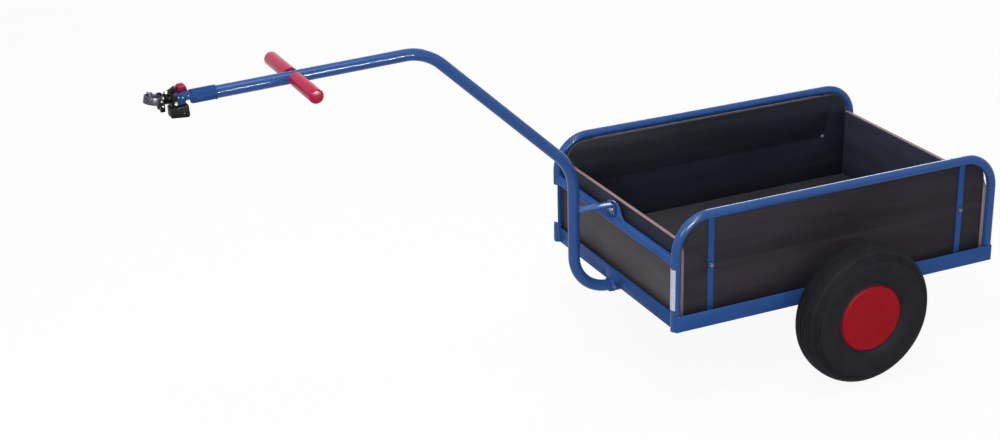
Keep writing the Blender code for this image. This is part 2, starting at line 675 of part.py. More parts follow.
def build_wheel(root, side, s):
    """A pneumatic wheel: pressed rim with its hub, tyre, tube, bushes and the red cover on the outside."""
    place = (AXLE_X, s * TRACK / 2, AXLE_Z)
    hub = pivot("wheel_" + side, place, root)
    half = TYRE_W / 2
    up = TYRE_R - TYRE_WIDEST_R
    down = TYRE_DOWN
    power = TYRE_SQUARENESS
    angles = (-TYRE_BEAD_ANGLE, -TYRE_FLANK_ANGLE, -20, 0, 20, 40)
    outer = [tyre_side(t, half, TYRE_WIDEST_R, up, down) for t in angles]
    for y, sunk in ((0.64, 0), (0.54, 0), (0.52, 1), (0.46, 1), (0.44, 0), (0.2, 0), (0.045, 0), (0.025, 1)):
        r = TYRE_WIDEST_R + up * (1 - y**power) ** (1 / power)
        outer.append((r - sunk * TREAD_GROOVE, y * half))
    outer += [(r, -y) for r, y in reversed(outer)]
    thin = TYRE_WALL
    inner = [tyre_side(t, half - thin, TYRE_WIDEST_R, up - thin - TREAD_GROOVE, down - thin) for t in (-60, -15, 15, 50)]
    inner += [(r, -y) for r, y in reversed(inner)]
    add("tyre_" + side, turned(outer + inner[::-1], WHEEL_STEPS, place), M["tyre"], hub, smooth=40)
    tube = []
    for slack in (thin + TUBE_SLACK, thin + TUBE_SLACK + TUBE_WALL):
        high = up - slack - TREAD_GROOVE
        ring = [tyre_side(t, half - slack, TYRE_WIDEST_R, high, down - slack - 0.004) for t in (-65, -15, 15, 50)]
        ring += [(r, -y) for r, y in reversed(ring)]
        tube += ring if not tube else ring[::-1]
    add("inner_tube_" + side, turned(tube, 16, place), M["tube"], hub, smooth=40)
    bead = BEAD_Y
    lip = RIM_LIP
    flange = lip - RIM_T
    well = RIM_SEAT_R - 0.0085
    t = RIM_T
    bore = BUSH_D / 2 + GAP
    rim = [
        (RIM_FLANGE_R, lip),
        (RIM_FLANGE_R, flange),
        (RIM_SEAT_R, bead + RUN),
        (RIM_SEAT_R, bead - 0.006),
        (well, bead - 0.012),
    ]
    rim += [(r, -y) for r, y in reversed(rim)]
    under = [
        (RIM_FLANGE_R - 0.0032, lip),
        (RIM_SEAT_R - t, bead + RUN + t * 0.6),
        (RIM_SEAT_R - t, bead - 0.005),
        (well - t, bead - 0.011),
        (well - t, t),
        (HUB_D / 2, t),
        (HUB_D / 2, HUB_END),
        (bore, HUB_END),
    ]
    under = [(r, -y) for r, y in under] + [(r, y) for r, y in reversed(under)]
    add("rim_" + side, turned(rim + under, WHEEL_STEPS, place), M["rim"], hub, smooth=40)
    outer_ring = circle(BUSH_D / 2, 16, AXLE_X, AXLE_Z)
    bore_ring = circle((AXLE_D / 2 + GAP) / math.cos(math.pi / 16), 16, AXLE_X, AXLE_Z)
    y = s * TRACK / 2
    bush = pipe(outer_ring, bore_ring, "Y", y - HUB_END, y + HUB_END)
    add("wheel_bush_" + side, bush, M["bush"], hub)
    rest = lip + GAP
    seat = bead + FLANK_SLOPE * (CAP_R - RIM_SEAT_R) + RUN
    face = AXLE_END + CAP_CLEARANCE + CAP_T
    ring = RIM_FLANGE_R - 0.0025
    cover = [
        (0, face),
        (CAP_FACE_R * 0.7, face - 0.0002),
        (CAP_FACE_R * 0.94, face - 0.0006),
        (CAP_FACE_R, face - 0.0014),
        (CAP_R - 0.0006, seat + 0.0010),
        (CAP_R, seat),
        (RIM_FLANGE_R, seat),
        (RIM_FLANGE_R, rest),
        (ring, rest),
        (ring, face - CAP_T - 0.0008),
        (ring - 0.002, face - CAP_T),
        (0, face - CAP_T),
    ]
    cover = [(r, s * y) for r, y in cover]
    add("wheel_cover_" + side, turned(cover, 24, place, "Y", closed=False), M["red"], hub, smooth=35)


def leaned(bm):
    """Moves a shape drawn round the Z axis onto the leaning axis of the seat post."""
    turn = Matrix.Rotation(LEAN, 4, "Y")
    bmesh.ops.transform(bm, matrix=Matrix.Translation((POST_AXIS_X, 0, POST_AXIS_Z)) @ turn, verts=bm.verts)
    return bm


def sloped(bm):
    """Leans a shape that runs along X with the drawbar's upper run."""
    for v in bm.verts:
        v.co.z += along_tip(v.co.x)
    return bm


def build_tongue(root, blue, steel):
    """The folded channel round the drawbar's end, and its two cheeks that reach forward to the pitch pin."""
    half = TONGUE_W / 2
    inside = half - TONGUE_T
    step = TONGUE_STEP_X
    steps = [math.pi * i / 12 for i in range(13)]
    outer = [(half * math.cos(t), half * math.sin(t)) for t in steps]
    inner = [(inside * math.cos(t), inside * math.sin(t)) for t in steps]
    section = [(half, -TONGUE_DROP), *outer, (-half, -TONGUE_DROP)]
    section += [(-inside, -TONGUE_DROP), *reversed(inner), (inside, -TONGUE_DROP)]
    channel = add("hitch_channel", sloped(prism(section, "X", step, TONGUE_REAR_X)), blue, root, smooth=40)
    level = along_tip(step)
    foot = PITCH_Z - 0.0042
    tip = [math.radians(a) for a in (262, 240, 218, 196, 174, 152, 130)]
    cheek = [
        (step + 0.012, level - TONGUE_DROP + 0.0004),
        (step + 0.012, level - 0.0004),
        (step + 0.002, level + 0.004),
        (step - 0.004, level + 0.0180),
        (step - 0.008, level + 0.0190),
        (step - 0.020, level + 0.0178),
        (PITCH_X + 0.006, level + 0.0160),
        (PITCH_X + 0.001, level + 0.0105),
    ]
    cheek += [(PITCH_X + TONGUE_TIP_R * math.cos(t), PITCH_Z + TONGUE_TIP_R * math.sin(t)) for t in reversed(tip)]
    cheek += [
        (PITCH_X + 0.004, foot),
        (step - 0.0154, foot),
        (step - 0.0134, PITCH_Z + 0.0014),
        (step - 0.0095, PITCH_Z + 0.0029),
        (step - 0.0044, PITCH_Z + 0.0025),
        (step - 0.0017, PITCH_Z - 0.0027),
        (step + 0.0011, level - TONGUE_DROP + 0.0002),
    ]
    fuse(channel, prism(cheek, "Y", inside, half), prism(cheek, "Y", -half, -inside))
    cut(channel, rod(PITCH_D / 2 + GAP, "Y", PITCH_X, PITCH_Z, -TONGUE_W, TONGUE_W, 12))
    r = PITCH_D / 2
    a = half + 2 * GAP + EAR_T + GAP
    pin = [(0, -a - 0.002), (r * 1.1, -a - 0.002), (r * 1.5, -a - 0.001), (r * 1.5, -a), (r, -a)]
    pin += [(d, -y) for d, y in reversed(pin)]
    add("pitch_pin", turned(pin, 12, (PITCH_X, 0, PITCH_Z), "Y", closed=False), steel, root, smooth=40)


def build_coupling(root, black, steel):
    """Head between the cheeks, latch housing, lock lever, and the clamp that turns on the yaw pin."""
    head = pivot("coupling_pitch", (PITCH_X, 0, PITCH_Z), root)
    half = TONGUE_W / 2 - TONGUE_T - 2 * GAP
    foot = LATCH_TOP_Z + GAP
    gap = RUN
    top = BARREL_Z + BARREL_H / 2 + gap + LUG_PLATE_T
    front = YAW_X + BARREL_D / 2 + 2 * gap
    body = [
        (front, foot),
        (PITCH_X + 0.0172, foot),
        (PITCH_X + 0.0172, PITCH_Z - 0.0025),
        (PITCH_X + 0.011, PITCH_Z + 0.0055),
        (PITCH_X + 0.0035, PITCH_Z + 0.0085),
        (PITCH_X + 0.0035, top - 0.002),
        (PITCH_X + 0.0015, top),
        (front, top),
    ]
    shell = add("coupling_head", prism(body, "Y", -half, half), black, head)
    end = BARREL_D / 2 + 0.0007
    arc = [math.pi / 2 + math.pi * i / 8 for i in range(9)]
    lug = [(front + 0.004, half * 0.7)] + [(YAW_X + end * math.cos(a), end * math.sin(a)) for a in arc]
    lug += [(front + 0.004, -half * 0.7)]
    under = BARREL_Z - BARREL_H / 2 - gap
    fuse(shell, prism(lug, "Z", top - LUG_PLATE_T, top), prism(lug, "Z", under - LUG_PLATE_T, under))
    slot = LEVER_T / 2 + gap
    web = front + 0.0022
    outside = TONGUE_W / 2 + 2 * GAP
    for s in (-1, 1):
        y0, y1 = sorted((s * outside, s * (outside + EAR_T)))
        fuse(shell, rod(EAR_R, "Y", PITCH_X, PITCH_Z, y0, y1, 20))
        fuse(shell, block(front, PITCH_X + 0.0035, y0, y1, PITCH_Z - 0.004, PITCH_Z + EAR_RISE))
        y0, y1 = sorted((s * (half - 0.001), s * (outside + EAR_T / 2)))
        fuse(shell, block(front, web, y0, y1, PITCH_Z - 0.004, PITCH_Z + EAR_RISE))
    slot_front = YAW_X + YAW_D / 2 + 0.0018
    cut(shell, block(slot_front, PITCH_X + 0.01, -slot, slot, LEVER_Z - LEVER_HUB_R - gap, top + 0.01))
    cut(shell, rod((PITCH_D / 2 + GAP) / math.cos(math.pi / 12), "Y", PITCH_X, PITCH_Z, -TONGUE_W, TONGUE_W, 12))
    fuse(shell, rod(LEVER_PIN_D / 2, "Y", LEVER_X, LEVER_Z, 0.001 - half, half - 0.001, 12))
    cut(shell, rod(YAW_D / 2 + GAP, "Z", YAW_X, 0, under - 0.01, top + 0.01, 12))
    x0, x1, z0, z1 = LATCH_FRONT_X, LATCH_REAR_X, LATCH_LOW_Z, LATCH_TOP_Z
    outline = [
        (x0 + 0.001, z0 + 0.0026),
        (x0, z0 + 0.0045),
        (x0, z1),
        (x1 - 0.0110, z1),
        (x1 - 0.0080, z1 + 0.0040),
        (x1 - 0.0040, z1 + 0.0040),
        (x1 - 0.0015, z1 + 0.0015),
        (x1, z0 + 0.0040),
        (x1 - 0.003, z0),
    ]
    latch = add("latch_housing", prism(outline, "Y", -LATCH_W / 2, LATCH_W / 2), M["plastic"], head)
    edge = latch.modifiers.new("Bevel", "BEVEL")
    edge.width = 0.0008
    edge.segments = 1
    edge.limit_method = "ANGLE"
    bottom = under - LUG_PLATE_T - GAP
    place = (YAW_X, 0, bottom)
    bolt_and_nut("yaw_pin", YAW_D, 0.008, 0.003, 0.0075, 0.004, place, "Z", 1, top - bottom - GAP, steel, head)
    build_lever(head, black)
    build_clamp(head, black, steel)


def build_lever(head, black):
    """The lock lever: an arm on its pin, with a red plastic grip folded round its end."""
    lever = pivot("lock_lever_hinge", (LEVER_X, 0, LEVER_Z), head)
    x, z = LEVER_X, LEVER_Z
    w = LEVER_T / 2
    end = x + 0.0260
    arm = [
        (x - 0.0035, z),
        (x - 0.0035, z + 0.0060),
        (x - 0.0018, z + 0.0120),
        (x + 0.0004, z + 0.0146),
        (x + 0.0030, z + 0.0162),
        (x + 0.0085, z + 0.0152),
        (end, z + 0.0142),
        (end, z + 0.0100),
        (x + 0.0060, z + 0.0106),
        (x + 0.0028, z + 0.0088),
        (x + 0.0030, z),
    ]
    piece = add("lock_lever", prism(arm, "Y", -w, w), black, lever)
    fuse(piece, rod(LEVER_HUB_R, "Y", x, z, -w, w, 16))
    cut(piece, rod((LEVER_PIN_D / 2 + GAP) / math.cos(math.pi / 12), "Y", x, z, -2 * w, 2 * w, 12))
    back = end + 0.0025
    front = back - LEVER_CAP_L
    low = z + 0.0035
    high = low + LEVER_CAP_H
    outline = [
        (front, low),
        (back - 0.0045, low),
        (back - 0.001, low + 0.0025),
        (back, low + 0.006),
        (back, high - 0.0055),
        (back - 0.0015, high - 0.002),
        (back - 0.0055, high),
        (front + 0.004, high),
        (front, high - 0.0025),
    ]
    grip = add("lever_grip", prism(outline, "Y", -LEVER_CAP_W / 2, LEVER_CAP_W / 2), M["red"], lever)
    cut(grip, block(front - 0.01, end + GAP, -LEVER_CAP_W, LEVER_CAP_W, z + 0.0100 - GAP, z + 0.0152 + GAP))


def build_clamp(head, black, steel):
    """The seat-post clamp: a block with the yaw barrel, and a split band with its own bolt."""
    yaw = pivot("clamp_yaw", (YAW_X, 0, BARREL_Z), head)
    r = BARREL_D / 2
    rear = YAW_X - r - 0.0012
    front = rear - CLAMP_BLOCK_L
    w = CLAMP_BLOCK_W / 2
    outline = [(front, -w), (rear - 0.002, -w), (rear, 0.003 - w), (rear, w - 0.003), (rear - 0.002, w), (front, w)]
    piece = add("clamp_block", prism(outline, "Z", BARREL_Z - CLAMP_BLOCK_DOWN, BARREL_Z + CLAMP_BLOCK_UP), black, yaw)
    low = BARREL_Z - BARREL_H / 2
    high = BARREL_Z + BARREL_H / 2
    fuse(piece, block(rear - 0.003, YAW_X, -r * 0.7, r * 0.7, low, high), rod(r, "Z", YAW_X, 0, low, high, 16))
    cut(piece, leaned(rod(BAND_R + GAP, "Z", 0, 0, -0.05, 0.05, 24)))
    cut(piece, rod((YAW_D / 2 + GAP) / math.cos(math.pi / 12), "Z", YAW_X, 0, low - 0.01, high + 0.01, 12))
    h = BAND_H / 2
    band = pipe(circle(BAND_R, 24), circle(POST_BORE / 2, 24), "Z", -h, h)
    band = add("clamp_band", leaned(band), M["band"], yaw, smooth=30)
    start = POST_BORE / 2 + BAND_T * 0.5
    fuse(band, leaned(block(-0.005, 0.005, start, BAND_R + 0.011, -h, h)))
    cut(band, leaned(block(-0.0015, 0.0015, 0.005, BAND_R + 0.02, -BAND_H, BAND_H)))
    y = BAND_R + 0.0055
    cut(band, leaned(rod(M5 / 2 + GAP, "X", y, 0, -0.02, 0.02, 12)))
    place = (-0.005 - GAP, y, 0)
    bolt_and_nut("clamp_band_bolt", M5, 0.0085, 0.004, 0.008, 0.004, place, "X", 1, 0.010, steel, yaw, leaned)


clear_scene()
M = {
    "blue": material("blue paint", (0.030, 0.088, 0.300), 0.35, 0.0),
    "board": material("film-faced plywood", (0.035, 0.031, 0.030), 0.5, 0.0),
    "steel": material("zinc-plated steel", (0.62, 0.62, 0.64), 0.35, 1.0),
    "steel_dark": material("plain steel tube", (0.35, 0.35, 0.37), 0.4, 1.0),
    "red": material("red plastic", (0.45, 0.010, 0.020), 0.35, 0.0),
    "reflective": material("reflective strip", (0.62, 0.61, 0.68), 0.4, 0.0),
    "tyre": material("tyre rubber", (0.018, 0.018, 0.020), 0.75, 0.0),
    "tube": material("inner tube rubber", (0.02, 0.02, 0.02), 0.6, 0.0),
    "rim": material("painted rim", (0.020, 0.020, 0.022), 0.4, 0.0),
    "bush": material("bush plastic", (0.7, 0.7, 0.66), 0.5, 0.0),
    "black": material("black coated steel", (0.012, 0.012, 0.014), 0.4, 0.3),
    "plastic": material("black plastic", (0.016, 0.016, 0.018), 0.45, 0.0),
    "band": material("dark coated aluminium", (0.10, 0.10, 0.12), 0.35, 0.6),
}
trailer = pivot("trailer", (0, 0, 0))
build_frame(trailer, M["blue"])
build_boards(trailer, M["board"], M["steel"])
build_drawbar(trailer, M["blue"], M["steel"])
build_reflectors(trailer)
build_axle(trailer, M["blue"], M["steel"])
build_wheel(trailer, "left", -1)
build_wheel(trailer, "right", 1)
build_tongue(trailer, M["blue"], M["steel"])
build_coupling(trailer, M["black"], M["steel"])
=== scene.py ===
"""The dressed model of a two-wheeled bicycle and hand trailer: a blue tube frame round a board-lined
box on pneumatic wheels, with a bent drawbar, a cross handle and a seat-post coupling."""
import json
from math import copysign, cos, pi, radians, sin, sqrt, tan

import bmesh
import bpy
from bpy.props import FloatProperty, FloatVectorProperty, PointerProperty
from mathutils import Matrix, Vector


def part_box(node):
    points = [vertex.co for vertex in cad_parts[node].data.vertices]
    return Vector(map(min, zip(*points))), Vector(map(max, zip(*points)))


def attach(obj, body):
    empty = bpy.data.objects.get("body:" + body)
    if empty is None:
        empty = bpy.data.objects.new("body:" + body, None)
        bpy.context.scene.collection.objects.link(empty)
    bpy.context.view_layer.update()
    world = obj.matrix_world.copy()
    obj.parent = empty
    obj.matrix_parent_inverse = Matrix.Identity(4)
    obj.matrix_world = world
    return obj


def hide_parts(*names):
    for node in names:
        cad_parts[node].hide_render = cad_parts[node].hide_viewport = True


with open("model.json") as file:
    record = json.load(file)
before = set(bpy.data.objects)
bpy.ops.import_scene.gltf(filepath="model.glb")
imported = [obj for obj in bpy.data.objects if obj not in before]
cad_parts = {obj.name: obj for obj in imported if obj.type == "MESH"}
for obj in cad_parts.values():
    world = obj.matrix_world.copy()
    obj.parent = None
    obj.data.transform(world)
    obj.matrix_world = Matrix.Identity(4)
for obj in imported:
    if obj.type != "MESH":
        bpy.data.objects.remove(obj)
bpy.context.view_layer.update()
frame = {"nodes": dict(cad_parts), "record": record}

bl_info = {
    "name": "Bicycle trailer",
    "version": (1, 0, 0),
    "blender": (4, 5, 0),
    "location": "View3D > Sidebar > Trailer",
    "description": "Builds the finished look of a bicycle trailer over its CAD frame",
    "category": "Add Mesh",
}

ENDS = ("front", "rear")
PLACES = ("front", "middle", "rear")
SIDES = (("left", -1), ("right", 1))


def low(node):
    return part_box(node)[0]


def high(node):
    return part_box(node)[1]


def middle(node):
    return (low(node) + high(node)) / 2


# Foot of the front posts on the centre line, from which the trailer's own drawing is measured
POST_D = 0.022
FOOT = Vector((low("side_hoop_left").x + POST_D / 2, 0.0, low("side_rail_left").z))
# In that drawing: the pitch pin, the corners of the drawbar's line, and a point inside the box
HITCH = (-1.005, 0.0, 0.618)
DRAWBAR = ((-0.9695, 0, 0.621), (-0.453, 0, 0.6373), (-0.1036, 0, 0.3068), (-0.1036, 0, -0.001), (0.02, 0, -0.001))
HEART = (0.425, 0, 0.5)


def spot(x, y, z):
    """A point of the trailer's drawing in the frame that the CAD nodes use."""
    return FOOT + Vector((x, y, z))


def metres(name, text, value):
    return FloatProperty(name=name, description=text, default=value, unit="LENGTH", subtype="DISTANCE")


def paint(name, text, value):
    return FloatVectorProperty(name=name, description=text, default=value, size=3, subtype="COLOR", min=0, max=1)


class TrailerSizes(bpy.types.PropertyGroup):
    """Sizes of the parts that are modelled over the frame."""

    post_d: metres("Frame tube", "Outside diameter of the hoops", POST_D)
    hoop_bend: metres("Hoop bend", "Centre-line radius of the hoops' upper corners", 0.08)
    board_t: metres("Board", "Thickness of the plywood boards", high("front_board").x - low("front_board").x)
    board_edge: metres("Board edge", "Rounding of the boards' edges", 0.0006)
    rail_t: metres("Rail wall", "Thickness of the angle rails", 0.003)
    drawbar_d: metres("Drawbar tube", "Outside diameter of the drawbar", 0.0269)
    tube_wall: metres("Tube wall", "Wall of the drawbar tube", 0.002)
    grip_d: metres("Grip", "Outside diameter of the handle grips", high("grip_left").z - low("grip_left").z)
    groove: metres("Tread groove", "Depth of the grooves round the tyre", 0.003)
    weld: metres("Weld bead", "Half width of the weld seams", 0.0022)
    bolt_d: metres("Bolt", "Thread diameter of the frame bolts", 0.006)


class TrailerColours(bpy.types.PropertyGroup):
    """Base colours of the finishes."""

    blue: paint("Frame blue", "Powder coat of the frame", (0.0238, 0.078, 0.264))
    film: paint("Board film", "Mesh-pressed film on the boards' outer faces", (0.03, 0.0265, 0.035))
    # The inner film is darker than the outer film: painted shade inside the box
    film_in: paint("Inner film", "Smooth film inside the box", (0.0185, 0.021, 0.031))
    film_floor: paint("Floor film", "Worn film of the floor board", (0.04, 0.04, 0.047))
    ply: paint("Board edge", "Bare edge of the plywood", (0.29, 0.195, 0.19))
    cover_red: paint("Cover red", "Plastic of the wheel covers", (0.335, 0.004, 0.0115))
    grip_red: paint("Grip red", "Plastic of the handle grips", (0.4, 0.002, 0.048))
    tyre: paint("Tyre", "Rubber of the tyres", (0.0122, 0.0118, 0.0152))
    strip: paint("Strip", "Reflective strip on the front posts", (0.6, 0.61, 0.78))
    zinc: paint("Zinc", "Zinc-plated bolts and axle", (0.64, 0.64, 0.65))
    rim: paint("Rim", "Paint of the pressed rims", (0.02, 0.02, 0.022))
    black: paint("Black", "Coated steel of the coupling", (0.0075, 0.007, 0.0085))
    band: paint("Band", "Dark coated aluminium of the clamp band", (0.072, 0.07, 0.088))
    bush: paint("Bush", "Plastic of the wheel bushes", (0.68, 0.68, 0.64))
    floor: paint("Floor", "Studio floor", (0.8, 0.8, 0.8))


# Materials

WHITE = (1.0, 1.0, 1.0)
# Heights over FOOT between which the front board fades from its painted light below to painted shade above the
# crossbar
DUSTY, CLEAN = 0.145, 0.172
PLIES = 7  # pale and brown veneers in a board's thickness


class Wire:
    """A node's output, so that the sums of a pattern read as plain arithmetic."""

    def __init__(self, nodes, socket):
        self.nodes = nodes
        self.socket = socket

    def sum(self, operation, first, second=0.0):
        return self.nodes.node("ShaderNodeMath", {0: first, 1: second}, operation=operation)

    def __add__(self, other):
        return self.sum("ADD", self, other)

    def __sub__(self, other):
        return self.sum("SUBTRACT", self, other)

    def __rsub__(self, other):
        return self.sum("SUBTRACT", other, self)

    def __mul__(self, other):
        return self.sum("MULTIPLY", self, other)

    __radd__, __rmul__ = __add__, __mul__

    def higher(self, other):
        return self.sum("MAXIMUM", self, other)

    def sine(self):
        return self.sum("SINE", self)

    def between(self, start, end, first=0.0, last=1.0):
        """The value spread from start..end to first..last, held at both ends."""
        values = {"Value": self, "From Min": start, "From Max": end, "To Min": first, "To Max": last}
        return self.nodes.node("ShaderNodeMapRange", values, interpolation_type="SMOOTHSTEP")


class Nodes:
    """The node tree of a material or a world."""

    def __init__(self, tree):
        self.tree = tree

    def node(self, kind, inputs=None, output=0, **settings):
        made = self.tree.nodes.new(kind)
        for key, value in settings.items():
            setattr(made, key, value)
        for key, value in (inputs or {}).items():
            self.join(value, made.inputs[key])
        return Wire(self, made.outputs[output])

    def join(self, value, socket):
        if isinstance(value, Wire):
            self.tree.links.new(value.socket, socket)
        elif socket.type == "RGBA":
            socket.default_value = (*value[:3], 1.0)
        else:
            socket.default_value = value

    def lift(self, plain, bright, share, output):
        """Puts a share of the bright shader in what the camera sees, also in a mirror or through glass."""
        kinds = ("Camera", "Glossy", "Transmission")
        camera, glossy, through = (self.node("ShaderNodeLightPath", output=f"Is {kind} Ray") for kind in kinds)
        seen = camera.higher(glossy).higher(through)
        mixed = self.node("ShaderNodeMixShader", {0: seen * share, 1: Wire(self, plain.outputs[0]), 2: bright})
        self.join(mixed, self.tree.nodes[output].inputs[0])


class Finish(Nodes):
    """A material on the Principled shader, and the nodes that feed it."""

    def __init__(self, name, colour, rough, shine=0.5, **values):
        self.colour = tuple(colour)
        self.material = bpy.data.materials.new(name)
        self.material.use_nodes = True
        self.material.diffuse_color = (*colour, 1.0)
        super().__init__(self.material.node_tree)
        self.shader = self.tree.nodes["Principled BSDF"]
        self.feed(base_color=self.colour, roughness=rough, specular_ior_level=shine, **values)

    def feed(self, **values):
        for key, value in values.items():
            self.join(value, self.shader.inputs[key.replace("_", " ").title().replace("Ior", "IOR")])

    def made(self, tone, rough, height, strength, depth):
        """The material with its colour, its roughness, and a bump of a depth in metres."""
        bump = self.node("ShaderNodeBump", {"Height": height, "Strength": strength, "Distance": depth})
        self.feed(base_color=tone, roughness=rough, normal=bump)
        return self.material

    def place(self):
        return self.node("ShaderNodeTexCoord", output="Object")

    def scaled(self, size, turn=(0, 0, 0)):
        """Object coordinates stretched by size, after turning."""
        return self.node("ShaderNodeMapping", {"Vector": self.place(), "Rotation": turn, "Scale": size})

    def noise(self, scale, detail=3.0, rough=0.5, where=None):
        inputs = {"Vector": where or self.place(), "Scale": scale, "Detail": detail, "Roughness": rough}
        return self.node("ShaderNodeTexNoise", inputs)

    def cells(self, scale):
        return self.node("ShaderNodeTexVoronoi", {"Vector": self.place(), "Scale": scale})

    def along(self, axis):
        """Where a point lies along the X, Y or Z axis, 0 to 2."""
        return self.node("ShaderNodeSeparateXYZ", {0: self.place()}, axis)

    def blend(self, mask, first, second):
        """From the first colour to the second as the mask goes from 0 to 1."""
        return self.node("ShaderNodeMix", {0: mask, 6: first, 7: second}, 2, data_type="RGBA")

    def varied(self, mask, first, last):
        """The finish's colour, times first to last as the mask goes from 0 to 1."""
        return self.blend(mask, shade(self.colour, first), shade(self.colour, last))


def shade(colour, factor, lift=0.0):
    return tuple(min(1.0, (c + lift) * factor) for c in colour)


def blue_paint(name, colour, rough, shine):
    f = Finish(name, colour, rough, shine)
    cloud = f.noise(9.0, 4.0)
    dust = f.noise(60.0, 5.0).between(0.56, 0.72)
    tone = f.blend(dust * 0.035, f.varied(cloud.between(0.3, 0.7), 0.95, 1.05), (0.16, 0.19, 0.27))
    dull = cloud.between(0.3, 0.75, rough - 0.02, rough + 0.03) + dust * 0.05
    return f.made(tone, dull, f.noise(900.0, 2.0), 0.03, 0.0003)


def board_film(name, colour, rough, clean=None):
    """Phenolic film on plywood: near black, with a fine press mark and long soft streaks. Given a second, darker
    colour, its upper part turns to that colour: painted shade.
    """
    f = Finish(name, colour, rough, 0.035)
    streak = f.noise(3.0, 4.0, 0.6, f.scaled((1.0, 1.0, 7.0)))
    speck = f.cells(230.0).between(0.0, 0.1, 1.0, 0.0)
    scuff = f.noise(14.0, 6.0, 0.7).between(0.58, 0.8)
    tone = f.varied(streak.between(0.3, 0.7), 0.84, 1.18)
    # Above a height the board turns to the darker colour: painted shade above the crossbar
    if clean:
        tone = f.blend(f.along(2).between(FOOT.z + DUSTY, FOOT.z + CLEAN), tone, clean)
    tone = f.blend(scuff * 0.12, tone, shade(colour, 1.3 if clean else 2.2, 0.01))
    tone = f.blend(speck * 0.08, tone, shade(colour, 2.6, 0.01))
    dull = streak.between(0.3, 0.7, rough - 0.05, rough + 0.07) + scuff * 0.08
    return f.made(tone, dull, f.noise(140.0, 4.0), 0.14, 0.0004)


def ply_edge(name, colour, axis, start, thickness):
    """Bare plywood edge: thin veneers stacked along one axis, in turn pale and brown."""
    f = Finish("ply edge " + name, colour, 0.72, 0.15)
    layer = ((f.along(axis) - start) * (PLIES * pi / thickness)).sine().between(-0.25, 0.25)
    fibres = [900.0 if i == axis else 90.0 for i in range(3)]
    grain = f.noise(1.0, 5.0, 0.6, f.scaled(fibres))
    tone = f.blend(grain.between(0.45, 0.75) * 0.4, f.varied(layer, 0.7, 1.1), shade(colour, 0.35))
    tone = f.blend(f.noise(22.0, 4.0).between(0.5, 0.8) * 0.45, tone, shade(colour, 0.8))
    dull = grain.between(0.3, 0.8, 0.62, 0.8)
    return f.made(tone, dull, layer * 0.5 + grain, 0.35, 0.0006)


def moulded(name, colour, rough, grain_scale, depth, shine=0.15, wear=0.06):
    """Moulded plastic with a fine grain, faint flow marks and a little wear."""
    f = Finish(name, colour, rough, shine)
    flow = f.noise(16.0, 4.0, 0.6)
    scratch = f.noise(1.0, 3.0, 0.6, f.scaled((40.0, 900.0, 220.0), (0.5, 0.8, 0.3))).between(0.66, 0.74)
    tone = f.blend(scratch * wear, f.varied(flow.between(0.3, 0.7), 0.92, 1.08), shade(colour, 1.5, 0.1))
    dull = flow.between(0.3, 0.7, rough - 0.04, rough + 0.05) + scratch * 0.1
    return f.made(tone, dull, f.noise(grain_scale, 2.0), 0.12, depth)


def tyre_rubber(name, colour, rough):
    f = Finish(name, colour, rough, 0.05)
    cloud = f.noise(26.0, 5.0, 0.6)
    dust = f.noise(75.0, 6.0, 0.7).between(0.55, 0.8)
    tone = f.blend(dust * 0.16, f.varied(cloud.between(0.3, 0.7), 0.85, 1.2), (0.052, 0.048, 0.05))
    dull = cloud.between(0.3, 0.7, rough - 0.06, rough + 0.06) + dust * 0.08
    return f.made(tone, dull, f.noise(700.0, 3.0), 0.18, 0.0004)


def reflective_film(name, colour, glow):
    """Woven-look reflective strip: small diamond cells under a clear face. Any emission it is given is painted
    light.
    """
    f = Finish(name, colour, 0.3, 0.4, emission_strength=glow)
    cell = f.cells(420.0)
    smear = f.noise(30.0, 4.0)
    tone = f.blend(smear.between(0.5, 0.8) * 0.25, f.varied(cell.between(0.15, 0.55), 1.1, 0.84), (0.3, 0.3, 0.38))
    f.feed(emission_color=tone)
    return f.made(tone, smear.between(0.3, 0.7, 0.28, 0.42), cell, 0.2, 0.0003)


def plated(name, colour, rough):
    """Zinc-plated or bare metal: brushed, with a dull bloom in patches."""
    f = Finish(name, colour, rough, metallic=1.0)
    bloom = f.noise(55.0, 5.0, 0.6)
    tone = f.varied(bloom.between(0.35, 0.75), 1.05, 0.74)
    dull = bloom.between(0.3, 0.7, rough - 0.08, rough + 0.12)
    return f.made(tone, dull, f.noise(1.0, 3.0, 0.5, f.scaled((2200.0, 500.0, 2200.0))), 0.1, 0.0002)


def coated(name, colour, rough, metal, shine=0.25):
    """A coat of colour on steel or aluminium, lightly textured and rubbed on the high spots."""
    f = Finish(name, colour, rough, shine, metallic=metal)
    rub = f.noise(110.0, 5.0, 0.7).between(0.6, 0.78)
    tone = f.blend(rub * 0.12, colour, (0.12, 0.12, 0.125))
    return f.made(tone, rub * 0.1 + rough, f.noise(1300.0, 2.0), 0.2, 0.0003)


def rim_coat(name, colour):
    """Paint with grime in patches and small chips."""
    f = Finish(name, colour, 0.42, 0.25)
    grime = f.noise(32.0, 6.0, 0.7)
    chip = f.cells(160.0).between(0.0, 0.05, 1.0, 0.0)
    tone = f.blend(grime.between(0.5, 0.8) * 0.5, colour, (0.2, 0.18, 0.16))
    tone = f.blend(chip * 0.5, tone, (0.1, 0.08, 0.07))
    return f.made(tone, grime.between(0.3, 0.8, 0.36, 0.56), grime, 0.1, 0.0004)


FINISHES = {}


